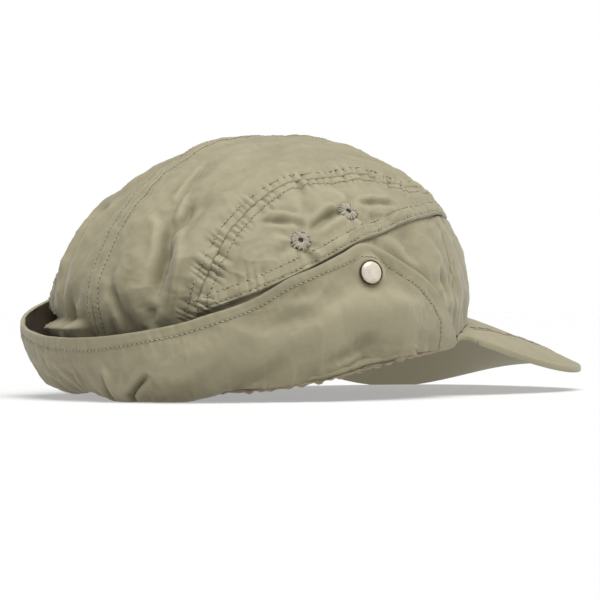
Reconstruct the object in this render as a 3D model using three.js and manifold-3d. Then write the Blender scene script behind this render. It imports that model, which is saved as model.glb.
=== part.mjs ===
// A soft sun cap with a peak and a neck flap that is turned up and snapped to the sides.
// Millimetres. +Z up, +X towards the tip of the peak, +Y towards the wearer's left.
// The cap rests on the fold of its flap and on the far edge of its peak.

import * as THREE from 'three';
import Module from 'manifold-3d';
import { mergeVertices } from 'three/addons/utils/BufferGeometryUtils.js';

const wasm = await Module();
wasm.setup();

// Crown, measured outside
const CROWN_LENGTH = 203;
const CROWN_WIDTH = 175.4;
const CROWN_HEIGHT = 120.8;
const WIDEST_HEIGHT = 43.3;
const CROWN_LEAN = 11.8;
const RIDGE_HEIGHT = 5.3;
const RIDGE_WIDTH = 18.8;
const RIDGE_ROUNDING = 3.1;
const BACK_TUCK = 12;
const DENT_DEPTH = 3.3;

// Cloth and clearances
const CLOTH = 1.2;
const GAP = 0.36;
const SEAM_GAP = 0.6;
const FOLD_DEPTH = 3.2;

// Neck flap
const TURN_DEPTH = 6.5;
const TURN_SPREAD = 6;
const FLAP_STAND = 14.2;

// Peak
const PEAK_REACH = 76;
const PEAK_HALF_WIDTH = 77;
const PEAK_THICKNESS = 3;
const PEAK_ARCH = 26.8;
const PEAK_SLOPE = 0.335;
const PEAK_TWIST = 0.082;
const PEAK_TWIST_RUN = 100;
const PEAK_ARCH_POWER = 2.3;
const PEAK_CORNER_SHARE = 0.985;
const PEAK_FAN_POWER = 1.15;
const PEAK_JOIN_DEG = 58;

// Sweatband, snaps and eyelets
const BAND_HEIGHT = 26;
const BAND_THICKNESS = 1;
const BAND_SHOW = 1.1;
const BAND_GAP = 0.85;
const SNAP_RADIUS = 5.6;
const SNAP_HEIGHT = 2.3;
const EYELET_RADIUS = 4.7;
const EYELET_HOLE = 1.25;
const EYELET_HEIGHT = 1.1;
const EYELET_GAP = 0.46;

// The crown is charted as a flat disc: deg is the angle from the front, and ring is 0 at
// the top, 1 at the widest ring and FLOOR_RING at the surface that the cap rests on.
const FLOOR_RING = 1.356;

// Ring where the ridge of the centre seam stands highest and how far it fades from there,
// and the share of the drop below the widest ring over which the back is drawn in
const RIDGE_RING = 0.35;
const RIDGE_FADE_RINGS = 0.45;
const TUCK_SHARE = 0.62;

const FRONT_SEAM_DEG = 63;
const REAR_SEAM_DEG = 145.6;
const HEM_LAP_SHARE = 0.24;
const FLAP_END_DEG = 66;

// Height of the crown's bottom edge, as a share of WIDEST_HEIGHT
const RIM = [
  { deg: 0, share: 0.915 },
  { deg: 20, share: 0.89 },
  { deg: 38, share: 0.8 },
  { deg: 50, share: 0.72 },
  { deg: 61, share: 0.63 },
  { deg: 75, share: 0.585 },
  { deg: 90, share: 0.51 },
  { deg: 110, share: 0.36 },
  { deg: 126, share: 0.265 },
  { deg: 147, share: 0.2 },
  { deg: 160, share: 0.175 },
  { deg: 180, share: 0.235 },
];

// How far the elastic back draws the bottom edge in, as a share of BACK_TUCK
const TUCK = [
  { deg: 0, share: 0 },
  { deg: 60, share: 0.04 },
  { deg: 90, share: 0.12 },
  { deg: 115, share: 0.25 },
  { deg: 130, share: 0.5 },
  { deg: 145, share: 0.95 },
  { deg: 160, share: 0.85 },
  { deg: 180, share: 0.65 },
];

// Seam between the top panels and the side panels
const ARC_SEAM = [
  { deg: 0, ring: 0.535 },
  { deg: 30, ring: 0.53 },
  { deg: 60, ring: 0.525 },
  { deg: 72, ring: 0.52 },
  { deg: 88, ring: 0.47 },
  { deg: 102, ring: 0.485 },
  { deg: 119, ring: 0.515 },
  { deg: 130, ring: 0.588 },
  { deg: 139, ring: 0.74 },
  { deg: 143, ring: 0.9 },
  { deg: 146, ring: 1.05 },
  { deg: 149, ring: 1.36 },
];

// Folded lower hem of the side panels
const HEM_SEAM = [
  { deg: 0, ring: 0.672 },
  { deg: 45, ring: 0.668 },
  { deg: 62, ring: 0.66 },
  { deg: 76, ring: 0.685 },
  { deg: 86, ring: 0.713 },
  { deg: 94, ring: 0.75 },
  { deg: 101, ring: 0.78 },
  { deg: 114, ring: 0.868 },
  { deg: 128, ring: 0.958 },
  { deg: 145.6, ring: 1.048 },
];

// Turned-up flap: ring of its hem, stand-off of the hem as a share of FLAP_STAND, depth of
// the fold under the bottom edge as a share of TURN_DEPTH, and width of the fold's inner
// side as a share of TURN_SPREAD
const FLAP = [
  { deg: 66, ring: 1.14, stand: 0.17, turn: 0.6, spread: 0.3 },
  { deg: 68, ring: 1.1, stand: 0.17, turn: 0.6, spread: 0.3 },
  { deg: 70, ring: 1.052, stand: 0.17, turn: 0.62, spread: 0.3 },
  { deg: 76, ring: 0.97, stand: 0.16, turn: 0.65, spread: 0.3 },
  { deg: 82, ring: 0.91, stand: 0.15, turn: 0.65, spread: 0.3 },
  { deg: 89, ring: 0.858, stand: 0.15, turn: 0.65, spread: 0.3 },
  { deg: 95, ring: 0.82, stand: 0.15, turn: 0.7, spread: 0.3 },
  { deg: 102, ring: 0.795, stand: 0.16, turn: 0.75, spread: 0.32 },
  { deg: 108, ring: 0.833, stand: 0.18, turn: 0.8, spread: 0.36 },
  { deg: 115, ring: 0.88, stand: 0.23, turn: 0.85, spread: 0.42 },
  { deg: 122, ring: 0.92, stand: 0.31, turn: 0.85, spread: 0.5 },
  { deg: 130, ring: 0.985, stand: 0.48, turn: 0.85, spread: 0.65 },
  { deg: 137, ring: 1.024, stand: 0.77, turn: 0.87, spread: 0.83 },
  { deg: 142, ring: 1.047, stand: 0.91, turn: 1.5, spread: 0.94 },
  { deg: 147, ring: 1.072, stand: 1, turn: 1.6, spread: 1 },
  { deg: 156, ring: 1.1, stand: 0.97, turn: 1.5, spread: 1 },
  { deg: 168, ring: 1.122, stand: 0.91, turn: 1.42, spread: 1 },
  { deg: 180, ring: 1.129, stand: 0.88, turn: 1.12, spread: 1 },
];

// Broad dents of the crown: place, size in the chart and depth as a share of DENT_DEPTH
const DENTS = [
  { deg: 180, ring: 0.62, size: 0.24, depth: 1 },
  { deg: 0, ring: 0.62, size: 0.3, depth: 0.28 },
  { deg: 180, ring: 0, size: 0.25, depth: 0.88 },
];

// Folds of the crown, the same on both sides: a stroke in the chart from one place to
// another, its half width there, and its depth as a share of FOLD_DEPTH
const CROWN_FOLDS = [
  { fromDeg: 152, fromRing: 0.64, toDeg: 159, toRing: 1.02, width: 0.045, depth: 1.1 },
  { fromDeg: 163, fromRing: 0.42, toDeg: 158, toRing: 0.68, width: 0.04, depth: 0.45 },
  { fromDeg: 171, fromRing: 0.98, toDeg: 165, toRing: 1.1, width: 0.04, depth: 0.7 },
  { fromDeg: 166, fromRing: 0.72, toDeg: 168, toRing: 0.95, width: 0.06, depth: -0.5 },
  { fromDeg: 146, fromRing: 0.6, toDeg: 151, toRing: 0.85, width: 0.05, depth: -0.5 },
  { fromDeg: 84, fromRing: 0.78, toDeg: 80, toRing: 0.95, width: 0.05, depth: 0.5 },
  { fromDeg: 130, fromRing: 0.3, toDeg: 60, toRing: 0.35, width: 0.06, depth: 0.4 },
];

// Folds of the flap, the same on both sides. along is 0 at the fold and 1 at the hem, and
// the whole way up counts as FLAP_FOLD_DEG degrees.
const FLAP_FOLD_DEG = 30;
const FLAP_FOLDS = [
  { fromDeg: 161, fromAlong: 0.05, toDeg: 157, toAlong: 0.55, width: 2.2, depth: 1 },
  { fromDeg: 173, fromAlong: 0.05, toDeg: 177, toAlong: 0.5, width: 2.5, depth: 0.5 },
  { fromDeg: 150, fromAlong: 0.1, toDeg: 146, toAlong: 0.6, width: 3.5, depth: 0.35 },
  { fromDeg: 128, fromAlong: 0.2, toDeg: 112, toAlong: 0.75, width: 5, depth: 0.3 },
  { fromDeg: 112, fromAlong: 0.15, toDeg: 94, toAlong: 0.5, width: 5, depth: 0.25 },
  { fromDeg: 84, fromAlong: 0.5, toDeg: 78, toAlong: 0.85, width: 3, depth: 0.2 },
];

const EYELETS = [
  { name: 'rear', deg: 119.3, ring: 0.786 },
  { name: 'front', deg: 104.5, ring: 0.67 },
];
const SNAP = { deg: 100, along: 0.85 };

// Colours of the cloth, the band, the snaps and the thread
const CLOTH_FINISH = { color: '#a29b7c', roughness: 0.85, metalness: 0 };
const BAND_FINISH = { color: '#8a6a4f', roughness: 0.8, metalness: 0 };
const SNAP_FINISH = { color: '#e6ddd3', roughness: 0.3, metalness: 0 };
const THREAD_FINISH = { color: '#a8a38c', roughness: 0.8, metalness: 0 };

const rad = THREE.MathUtils.degToRad;
const clamp = THREE.MathUtils.clamp;
const smooth = THREE.MathUtils.smoothstep;
const lerp = THREE.MathUtils.lerp;

// Value of one column at a place, on a smooth curve through the rows of a table
function column(table, name, at) {
  const last = table.length - 1;
  let i = 0;
  while (i < last - 1 && at > table[i + 1].deg) i += 1;
  const slope = (k) => {
    const a = table[Math.max(k - 1, 0)];
    const b = table[Math.min(k + 1, last)];
    return (b[name] - a[name]) / (b.deg - a.deg);
  };
  const [a, b] = [table[i], table[i + 1]];
  const step = b.deg - a.deg;
  const t = clamp((at - a.deg) / step, 0, 1);
  const ease = t * t * (3 - 2 * t);
  const bend = slope(i) * t * (1 - t) * (1 - t) - slope(i + 1) * t * t * (1 - t);
  return lerp(a[name], b[name], ease) + bend * step;
}

// Angle from the front without its side, in degrees
const fromFront = (deg) => Math.abs(((deg + 540) % 360) - 180);

// Point of the flat chart
function chart(deg, ring) {
  return new THREE.Vector2(ring * Math.cos(rad(deg)), ring * Math.sin(rad(deg)));
}

const degOf = (point) => THREE.MathUtils.radToDeg(Math.atan2(point.y, point.x));

const ringAtHeight = (z) => 1 + ((WIDEST_HEIGHT - z) / WIDEST_HEIGHT) * (FLOOR_RING - 1);
const rimHeight = (deg) => WIDEST_HEIGHT * column(RIM, 'share', fromFront(deg));
const rimRing = (deg) => ringAtHeight(rimHeight(deg));

// Depth of one fold at a chart point: a Gaussian across the stroke that fades at its ends
function strokeDepth(point, from, to, width) {
  const span = to.clone().sub(from);
  const t = point.clone().sub(from).dot(span) / span.lengthSq();
  const near = from.clone().addScaledVector(span, clamp(t, 0, 1));
  const away = point.distanceTo(near) / width;
  return Math.exp(-away * away);
}

function foldDepth(point) {
  const mirrored = new THREE.Vector2(point.x, Math.abs(point.y));
  let depth = 0;
  for (const fold of CROWN_FOLDS) {
    const from = chart(fold.fromDeg, fold.fromRing);
    const to = chart(fold.toDeg, fold.toRing);
    depth += fold.depth * FOLD_DEPTH * strokeDepth(mirrored, from, to, fold.width);
  }
  return depth;
}

// Height of the crown's broad form over its plain oval: the dents, and the ridge that
// the centre seam makes over the top
function formHeight(point, ring, y) {
  let height = 0;
  for (const dent of DENTS) {
    const away = point.distanceTo(chart(dent.deg, dent.ring)) / dent.size;
    height -= dent.depth * DENT_DEPTH * Math.exp(-away * away / 2);
  }
  const fade = Math.exp(-(((ring - RIDGE_RING) / RIDGE_FADE_RINGS) ** 2));
  const side = Math.hypot(y, RIDGE_ROUNDING) / RIDGE_WIDTH;
  return height + RIDGE_HEIGHT * fade * Math.exp(-side);
}

// Point of the crown's surface, lifted outwards. A worn surface has the crown's folds and
// its tucked back; the flap around it has neither.
function surface(deg, ring, lift, worn = true) {
  const angle = rad(deg);
  const turn = Math.min(ring, 1) * Math.PI / 2;
  const [rise, out] = [Math.cos(turn), Math.sin(turn)];
  const drop = Math.max(ring - 1, 0) / (FLOOR_RING - 1);
  const top = CROWN_HEIGHT - WIDEST_HEIGHT;
  const [a, b] = [CROWN_LENGTH / 2, CROWN_WIDTH / 2];
  const lean = CROWN_LEAN * rise * Math.sqrt(rise);
  const base = new THREE.Vector3(lean + a * out * Math.cos(angle), b * out * Math.sin(angle),
    ring < 1 ? WIDEST_HEIGHT + top * rise : WIDEST_HEIGHT * (1 - drop));
  const normal = new THREE.Vector3(out * Math.cos(angle) / a, out * Math.sin(angle) / b,
    ring < 1 ? rise / top : 0).normalize();
  const point = chart(deg, ring);
  let height = lift + formHeight(point, ring, base.y);
  if (worn) {
    height -= BACK_TUCK * column(TUCK, 'share', fromFront(deg)) * smooth(drop, 0, TUCK_SHARE);
    height -= foldDepth(point);
  }
  return base.addScaledVector(normal, height);
}

// The same surface from a chart point
function surfaceAt(point, lift) {
  return surface(degOf(point), point.length(), lift);
}

// Closed shell between an outer and an inner grid of points, open or wrapped round
function shell(outer, inner, wrapped = false) {
  const [rows, cols] = [outer.length, outer[0].length];
  const points = [...outer.flat(), ...inner.flat()];
  const side = rows * cols;
  const at = (i, j, back) => (i % rows) * cols + j + (back ? side : 0);
  const faces = [];
  const quad = (a, b, c, d) => faces.push(a, b, c, a, c, d);
  const last = wrapped ? rows : rows - 1;
  for (let i = 0; i < last; i += 1) {
    for (let j = 0; j < cols - 1; j += 1) {
      quad(at(i, j), at(i + 1, j), at(i + 1, j + 1), at(i, j + 1));
      quad(at(i, j, 1), at(i, j + 1, 1), at(i + 1, j + 1, 1), at(i + 1, j, 1));
    }
    quad(at(i, 0, 1), at(i + 1, 0, 1), at(i + 1, 0), at(i, 0));
    quad(at(i, cols - 1), at(i + 1, cols - 1), at(i + 1, cols - 1, 1), at(i, cols - 1, 1));
  }
  if (!wrapped) {
    for (let j = 0; j < cols - 1; j += 1) {
      quad(at(0, j), at(0, j + 1), at(0, j + 1, 1), at(0, j, 1));
      quad(at(rows - 1, j), at(rows - 1, j, 1), at(rows - 1, j + 1, 1), at(rows - 1, j + 1));
    }
  }
  return outward(points, faces);
}

// Geometry from points and faces, with its faces turned outwards
function outward(points, faces) {
  let volume = 0;
  for (let k = 0; k < faces.length; k += 3) {
    const [a, b, c] = [points[faces[k]], points[faces[k + 1]], points[faces[k + 2]]];
    volume += a.dot(b.clone().cross(c));
  }
  const geometry = new THREE.BufferGeometry().setFromPoints(points);
  geometry.setIndex(volume < 0 ? faces.reverse() : faces);
  return geometry;
}

// Grid of values of a function over two shares from 0 to 1
function grid(rows, cols, value) {
  return Array.from({ length: rows + 1 }, (_, i) => Array.from({ length: cols + 1 },
    (__, j) => value(i / rows, j / cols)));
}

// Draws the border of a grid of chart points in by half the seam's gap
function inset(points) {
  const [rows, cols] = [points.length, points[0].length];
  return points.map((line, i) => line.map((point, j) => {
    const near = points[clamp(i, 1, rows - 2)][clamp(j, 1, cols - 2)];
    if (near === point) return point;
    const moved = point.clone();
    for (const next of [points[clamp(i, 1, rows - 2)][j], line[clamp(j, 1, cols - 2)]]) {
      if (next === point) continue;
      const width = surfaceAt(next, 0).distanceTo(surfaceAt(point, 0));
      moved.addScaledVector(next.clone().sub(point), SEAM_GAP / 2 / width);
    }
    return moved;
  }));
}

// Panel of the crown: a grid of chart points given the cloth's thickness
function panel(points, lift = () => 0) {
  const placed = inset(points);
  const layer = (depth) => placed.map((line) => line.map((point) => (
    surfaceAt(point, lift(point) - depth))));
  return shell(layer(0), layer(CLOTH));
}

// Chart patch between four border curves, each a function of a share from 0 to 1
function patch(rows, cols, start, end, left, right) {
  return grid(rows, cols, (v, u) => {
    const point = start(u).multiplyScalar(1 - v).addScaledVector(end(u), v);
    point.addScaledVector(left(v), 1 - u).addScaledVector(right(v), u);
    point.addScaledVector(start(0), -(1 - u) * (1 - v)).addScaledVector(start(1), -u * (1 - v));
    return point.addScaledVector(end(0), -(1 - u) * v).addScaledVector(end(1), -u * v);
  });
}

const between = (a, b) => (t) => a.clone().lerp(b, t);
const mirror = (points) => points.map((line) => line.map((p) => new THREE.Vector2(p.x, -p.y)));

// Curve in the chart through the rows of a seam's table
function seamCurve(table) {
  const points = Array.from({ length: 61 }, (_, k) => {
    const deg = lerp(table[0].deg, table.at(-1).deg, k / 60);
    return chart(deg, column(table, 'ring', deg));
  });
  return new THREE.SplineCurve(points);
}

const arcSeam = seamCurve(ARC_SEAM);
const hemSeam = seamCurve(HEM_SEAM);
const ARC_FRONT = 0.13;

// Share of the arc seam's length where it crosses a ring of the chart near its rear end
function arcShareAt(ring) {
  let [low, high] = [0.5, 1];
  for (let step = 0; step < 30; step += 1) {
    const middle = (low + high) / 2;
    if (arcSeam.getPointAt(middle).length() < ring) low = middle;
    else high = middle;
  }
  return low;
}

const ARC_REAR = arcShareAt(HEM_SEAM.at(-1).ring);
const ARC_RIM = arcShareAt(rimRing(ARC_SEAM.at(-2).deg));

// Left top panel: from the bottom edge at the back over the top to the front
function topPanel() {
  const rear = degOf(arcSeam.getPointAt(ARC_RIM));
  return patch(22, 8,
    (u) => chart(lerp(180, rear, u), rimRing(lerp(180, rear, u))),
    (u) => arcSeam.getPointAt(ARC_FRONT * u),
    between(chart(180, rimRing(180)), chart(0, ARC_SEAM[0].ring)),
    (v) => arcSeam.getPointAt(lerp(ARC_RIM, ARC_FRONT, v)));
}

// Left side panel: a half moon between the arc seam and its own hem
function sidePanel() {
  return patch(24, 7,
    between(arcSeam.getPointAt(ARC_REAR), hemSeam.getPointAt(1)),
    between(chart(0, ARC_SEAM[0].ring), chart(0, HEM_SEAM[0].ring)),
    (v) => arcSeam.getPointAt(lerp(ARC_REAR, 0, v)),
    (v) => hemSeam.getPointAt(1 - v));
}

// Lift of the side panel, whose hem stands over the cloth below it
function hemLift(point) {
  const deg = fromFront(degOf(point));
  const arc = column(ARC_SEAM, 'ring', deg);
  const share = (point.length() - arc) / (column(HEM_SEAM, 'ring', deg) - arc);
  return (CLOTH + GAP) * smooth(share, 0.12, 0.5) * smooth(deg, 44, 61);
}

// Ring where the cloth below ends under the side panel's hem
function underHem(deg) {
  const lap = HEM_LAP_SHARE * smooth(deg, FRONT_SEAM_DEG, 70) * (1 - smooth(deg, 130, REAR_SEAM_DEG));
  return lerp(column(HEM_SEAM, 'ring', deg), column(ARC_SEAM, 'ring', deg), lap);
}

// Left lower band: from the front seam back to the arc seam
function lowerBand() {
  return grid(18, 8, (v, w) => {
    const rear = degOf(arcSeam.getPointAt(lerp(ARC_REAR, ARC_RIM, w)));
    const deg = lerp(FRONT_SEAM_DEG, rear, v);
    const top = underHem(Math.min(deg, REAR_SEAM_DEG));
    return chart(deg, lerp(top, rimRing(deg), w));
  });
}

function frontPanel() {
  return grid(16, 7, (v, w) => {
    const deg = lerp(-FRONT_SEAM_DEG, FRONT_SEAM_DEG, v);
    return chart(deg, lerp(underHem(Math.abs(deg)), rimRing(deg), w));
  });
}

const flapColumn = (name, deg) => column(FLAP, name, fromFront(deg));
const foldHeight = (deg) => rimHeight(deg) - TURN_DEPTH * flapColumn('turn', deg);

function flapFoldDepth(deg, along) {
  const place = new THREE.Vector2(fromFront(deg), along * FLAP_FOLD_DEG);
  let depth = 0;
  for (const fold of FLAP_FOLDS) {
    const from = new THREE.Vector2(fold.fromDeg, fold.fromAlong * FLAP_FOLD_DEG);
    const to = new THREE.Vector2(fold.toDeg, fold.toAlong * FLAP_FOLD_DEG);
    depth += fold.depth * FOLD_DEPTH * strokeDepth(place, from, to, fold.width);
  }
  return depth;
}

// Point of the flap. along runs from -1 at the bottom edge of the crown through 0 at the
// fold to 1 at the hem; both sides of the fold are quarter ellipses. layer is 0 on the
// flap's outer face and 1 on its inner face.
function flapPoint(deg, along, layer) {
  const tuck = BACK_TUCK * column(TUCK, 'share', fromFront(deg));
  const root = -tuck - CLOTH * (1 - layer);
  const fold = -tuck - CLOTH / 2 + TURN_SPREAD * flapColumn('spread', deg);
  const hem = FLAP_STAND * flapColumn('stand', deg) + CLOTH * (0.5 - layer);
  const bottom = ringAtHeight(foldHeight(deg) + CLOTH * layer);
  const turn = Math.abs(along) * Math.PI / 2;
  if (along < 0) {
    const top = ringAtHeight(rimHeight(deg) - GAP);
    const ring = lerp(top, bottom, Math.cos(turn));
    return surface(deg, ring, lerp(fold, root, Math.sin(turn)), false);
  }
  const ring = lerp(flapColumn('ring', deg), bottom, Math.cos(turn));
  const out = lerp(fold, hem, Math.sin(turn)) - flapFoldDepth(deg, along);
  return surface(deg, ring, out, false);
}

// Presses what would lie lower than the rest surface flat onto it
function rested(point, layerHeight) {
  point.z = Math.max(point.z, layerHeight);
  return point;
}

function neckFlap() {
  const alongRows = [-1, -0.6, -0.25, 0, 0.18, 0.34, 0.5, 0.66, 0.83, 1];
  const cols = 60;
  const layerGrid = (layer) => grid(cols, alongRows.length - 1, (u, v) => {
    const deg = lerp(FLAP_END_DEG, 360 - FLAP_END_DEG, u);
    const along = alongRows[Math.round(v * (alongRows.length - 1))];
    return rested(flapPoint(deg, along, layer), CLOTH * layer);
  });
  return shell(layerGrid(0), layerGrid(1));
}

// Lower edge of the sweatband, which shows under the flap and under the peak
function bandBottom(deg) {
  const at = fromFront(deg);
  const front = rimHeight(deg) - PEAK_THICKNESS - BAND_SHOW;
  const side = foldHeight(deg) - BAND_SHOW;
  const back = Math.max(foldHeight(deg), 0) + CLOTH + BAND_SHOW;
  const behind = lerp(side, back, smooth(at, 136, 146));
  return lerp(front, behind, smooth(at, PEAK_JOIN_DEG - 4, PEAK_JOIN_DEG + 8));
}

function sweatband() {
  const rows = 54;
  const layerGrid = (depth) => Array.from({ length: rows }, (_, i) => {
    const deg = i * 360 / rows;
    const bottom = bandBottom(deg);
    return [0, 0.33, 0.66, 1].map((share) => {
      const ring = ringAtHeight(bottom + BAND_HEIGHT * share);
      return surface(deg, ring, -CLOTH - BAND_GAP - depth);
    });
  });
  return shell(layerGrid(0), layerGrid(BAND_THICKNESS), true);
}

const peakTipX = CROWN_LENGTH / 2 + PEAK_REACH;
const joinX = (CROWN_LENGTH / 2) * Math.cos(rad(PEAK_JOIN_DEG));

// Height of the peak's top face: it slopes to the front, arches across and has a slight
// twist that lets its left edge down
function peakHeight(x, y) {
  const ridge = rimHeight(0) - PEAK_SLOPE * (x - CROWN_LENGTH / 2);
  const arch = PEAK_ARCH * (Math.abs(y) / PEAK_HALF_WIDTH) ** PEAK_ARCH_POWER;
  const twist = PEAK_TWIST * y * clamp((x - joinX) / PEAK_TWIST_RUN, 0, 1);
  return ridge - arch - twist;
}

// Outline of the peak in plan: a rounded oval on the line of its two corners
function peakEdge(across) {
  const turn = across * Math.PI / 2;
  const power = 2 / 3;
  const x = joinX + (peakTipX - joinX) * Math.cos(turn) ** power;
  return [x, PEAK_HALF_WIDTH * Math.sign(across) * Math.abs(Math.sin(turn)) ** power];
}

// Point of the peak in plan and height. across is -1 to 1 between its corners, and out
// is 0 at the crown and 1 at the outer edge.
function peakPoint(across, out) {
  const deg = PEAK_JOIN_DEG * across;
  const join = surface(deg, rimRing(deg), -CLOTH);
  const spread = Math.sign(across) * Math.abs(across) ** PEAK_FAN_POWER;
  const [x, y] = peakEdge(clamp(spread, -PEAK_CORNER_SHARE, PEAK_CORNER_SHARE));
  const point = new THREE.Vector3(lerp(join.x, x, out), lerp(join.y, y, out), 0);
  const offset = join.z - GAP - peakHeight(join.x, join.y);
  point.z = peakHeight(point.x, point.y) + offset * (1 - out) ** 3;
  return point;
}

function peak() {
  const outRows = [0, 0.12, 0.28, 0.45, 0.62, 0.78, 0.9, 0.965, 0.99, 1];
  const round = [1, 1, 1, 1, 1, 1, 1, 0.96, 0.7, 0.2];
  const cols = 26;
  const layerGrid = (under) => grid(cols, outRows.length - 1, (u, v) => {
    const across = lerp(-1, 1, u);
    const row = Math.round(v * (outRows.length - 1));
    const point = peakPoint(across, outRows[row]);
    const half = PEAK_THICKNESS / 2;
    point.z -= half - half * round[row] * (under ? -1 : 1);
    return rested(point, under ? 0 : half * round[row]);
  });
  return shell(layerGrid(0), layerGrid(1));
}

// Geometry turned from +Y to a direction and moved to a place
function seated(geometry, place, direction) {
  const turn = new THREE.Quaternion().setFromUnitVectors(new THREE.Vector3(0, 1, 0), direction);
  return geometry.applyQuaternion(turn).translate(place.x, place.y, place.z);
}

// Welded solid of revolution about +Y, from a closed profile of radius and height
function turned(profile, sides) {
  const lathe = new THREE.LatheGeometry(profile.map(([r, h]) => new THREE.Vector2(r, h)), sides);
  lathe.deleteAttribute('normal');
  lathe.deleteAttribute('uv');
  return mergeVertices(lathe, 1e-4);
}

// Outward direction of a surface given as a function of two places
function directionOf(pointOf, a, b, stepA, stepB) {
  const alongA = pointOf(a + stepA, b).sub(pointOf(a - stepA, b));
  const alongB = pointOf(a, b + stepB).sub(pointOf(a, b - stepB));
  const direction = alongA.cross(alongB).normalize();
  const outside = new THREE.Vector3(pointOf(a, b).x, pointOf(a, b).y, 0);
  return direction.dot(outside) < 0 ? direction.negate() : direction;
}

function snapCap(side) {
  const place = (deg, along) => flapPoint(side * deg, along, 0);
  const direction = directionOf(place, SNAP.deg, SNAP.along, 2, 0.05);
  const seat = place(SNAP.deg, SNAP.along).addScaledVector(direction, GAP);
  const [r, h] = [SNAP_RADIUS, SNAP_HEIGHT];
  const profile = [[0, 0], [r * 0.96, 0], [r, h * 0.22], [r * 0.93, h * 0.5],
    [r * 0.7, h * 0.82], [r * 0.36, h * 0.97], [0, h]];
  return seated(turned(profile, 24), seat, direction);
}

// Place and direction of an eyelet on the lifted side panel
function eyeletSeat(eyelet, side) {
  const place = (deg, ring) => surface(side * deg, ring, hemLift(chart(deg, ring)));
  const direction = directionOf(place, eyelet.deg, eyelet.ring, 2, 0.02);
  return { seat: place(eyelet.deg, eyelet.ring), direction };
}

function eyeletRing(eyelet, side) {
  const { seat, direction } = eyeletSeat(eyelet, side);
  const [r, hole, h] = [EYELET_RADIUS, EYELET_HOLE, EYELET_HEIGHT];
  const profile = [[hole, 0], [r, 0], [r, h * 0.45], [r * 0.86, h], [hole * 1.6, h],
    [hole, h * 0.6], [hole, 0]];
  return seated(turned(profile, 16), seat.addScaledVector(direction, EYELET_GAP), direction);
}

// Solid for cutting, from a welded geometry
function solidOf(geometry) {
  const bare = new THREE.BufferGeometry();
  bare.setAttribute('position', geometry.attributes.position);
  bare.setIndex(geometry.index);
  return new wasm.Manifold(new wasm.Mesh({
    numProp: 3,
    vertProperties: new Float32Array(bare.attributes.position.array),
    triVerts: new Uint32Array(bare.index.array),
  }));
}

function geometryOf(solid) {
  const mesh = solid.getMesh();
  const geometry = new THREE.BufferGeometry();
  geometry.setAttribute('position', new THREE.BufferAttribute(mesh.vertProperties, 3));
  geometry.setIndex(new THREE.BufferAttribute(mesh.triVerts, 1));
  return geometry;
}

// Side panel with its two eyelet holes cut through
function piercedSidePanel(side) {
  const points = side > 0 ? sidePanel() : mirror(sidePanel());
  let solid = solidOf(panel(points, hemLift));
  for (const eyelet of EYELETS) {
    const { seat, direction } = eyeletSeat(eyelet, side);
    const length = 6 * CLOTH;
    const pin = turned([[0, -length], [EYELET_HOLE, -length], [EYELET_HOLE, length], [0, length]], 12);
    solid = solid.subtract(solidOf(seated(pin, seat, direction)));
  }
  return geometryOf(solid);
}

const cap = new THREE.Group();

function add(name, geometry, finish) {
  const mesh = new THREE.Mesh(geometry, new THREE.MeshStandardMaterial(finish));
  mesh.name = name;
  cap.add(mesh);
}

for (const [label, side] of [['left', 1], ['right', -1]]) {
  const sided = (points) => (side > 0 ? points : mirror(points));
  add(`crown_top_${label}`, panel(sided(topPanel())), CLOTH_FINISH);
  add(`side_panel_${label}`, piercedSidePanel(side), CLOTH_FINISH);
  add(`lower_band_${label}`, panel(sided(lowerBand())), CLOTH_FINISH);
  for (const eyelet of EYELETS) {
    add(`eyelet_${label}_${eyelet.name}`, eyeletRing(eyelet, side), THREAD_FINISH);
  }
  add(`snap_cap_${label}`, snapCap(side), SNAP_FINISH);
}
add('front_panel', panel(frontPanel()), CLOTH_FINISH);
add('peak', peak(), CLOTH_FINISH);
add('neck_flap', neckFlap(), CLOTH_FINISH);
add('sweatband', sweatband(), BAND_FINISH);

// The origin lies in the middle under the cap, on the surface that it rests on
const bounds = new THREE.Box3().setFromObject(cap);
const middle = bounds.getCenter(new THREE.Vector3());
cap.position.set(-middle.x, -middle.y, -bounds.min.z);

export default cap;
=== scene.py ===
"""Looks of a soft sun cap with an arched peak and a neck flap that is turned up and snapped.

Everything is worked out in millimetres in the model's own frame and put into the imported
frame by piece(), which shifts it to where the solids are.
"""

import bmesh
import bpy
import numpy as np
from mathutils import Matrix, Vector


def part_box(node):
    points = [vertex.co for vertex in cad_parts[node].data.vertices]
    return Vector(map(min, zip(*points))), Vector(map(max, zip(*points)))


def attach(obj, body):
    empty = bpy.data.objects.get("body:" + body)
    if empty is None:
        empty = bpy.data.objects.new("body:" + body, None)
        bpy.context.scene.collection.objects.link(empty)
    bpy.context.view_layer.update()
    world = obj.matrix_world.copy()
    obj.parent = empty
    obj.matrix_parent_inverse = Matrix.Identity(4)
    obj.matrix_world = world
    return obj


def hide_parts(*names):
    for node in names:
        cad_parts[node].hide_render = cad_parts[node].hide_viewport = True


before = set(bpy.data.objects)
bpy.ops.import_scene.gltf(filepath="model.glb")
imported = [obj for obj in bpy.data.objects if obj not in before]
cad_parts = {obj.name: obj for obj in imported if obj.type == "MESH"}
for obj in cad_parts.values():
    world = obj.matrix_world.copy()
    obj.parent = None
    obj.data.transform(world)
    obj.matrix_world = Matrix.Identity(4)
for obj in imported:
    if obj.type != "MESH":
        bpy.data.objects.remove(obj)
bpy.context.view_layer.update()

# Form of the crown, the flap and the peak, as the solids have it
CROWN_LENGTH = 203.0
CROWN_WIDTH = 175.4
CROWN_HEIGHT = 120.8
WIDEST_HEIGHT = 43.3
CROWN_LEAN = 11.8
RIDGE_HEIGHT = 5.3
RIDGE_WIDTH = 18.8
RIDGE_ROUNDING = 3.1
RIDGE_RING = 0.35
RIDGE_FADE_RINGS = 0.45
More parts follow.
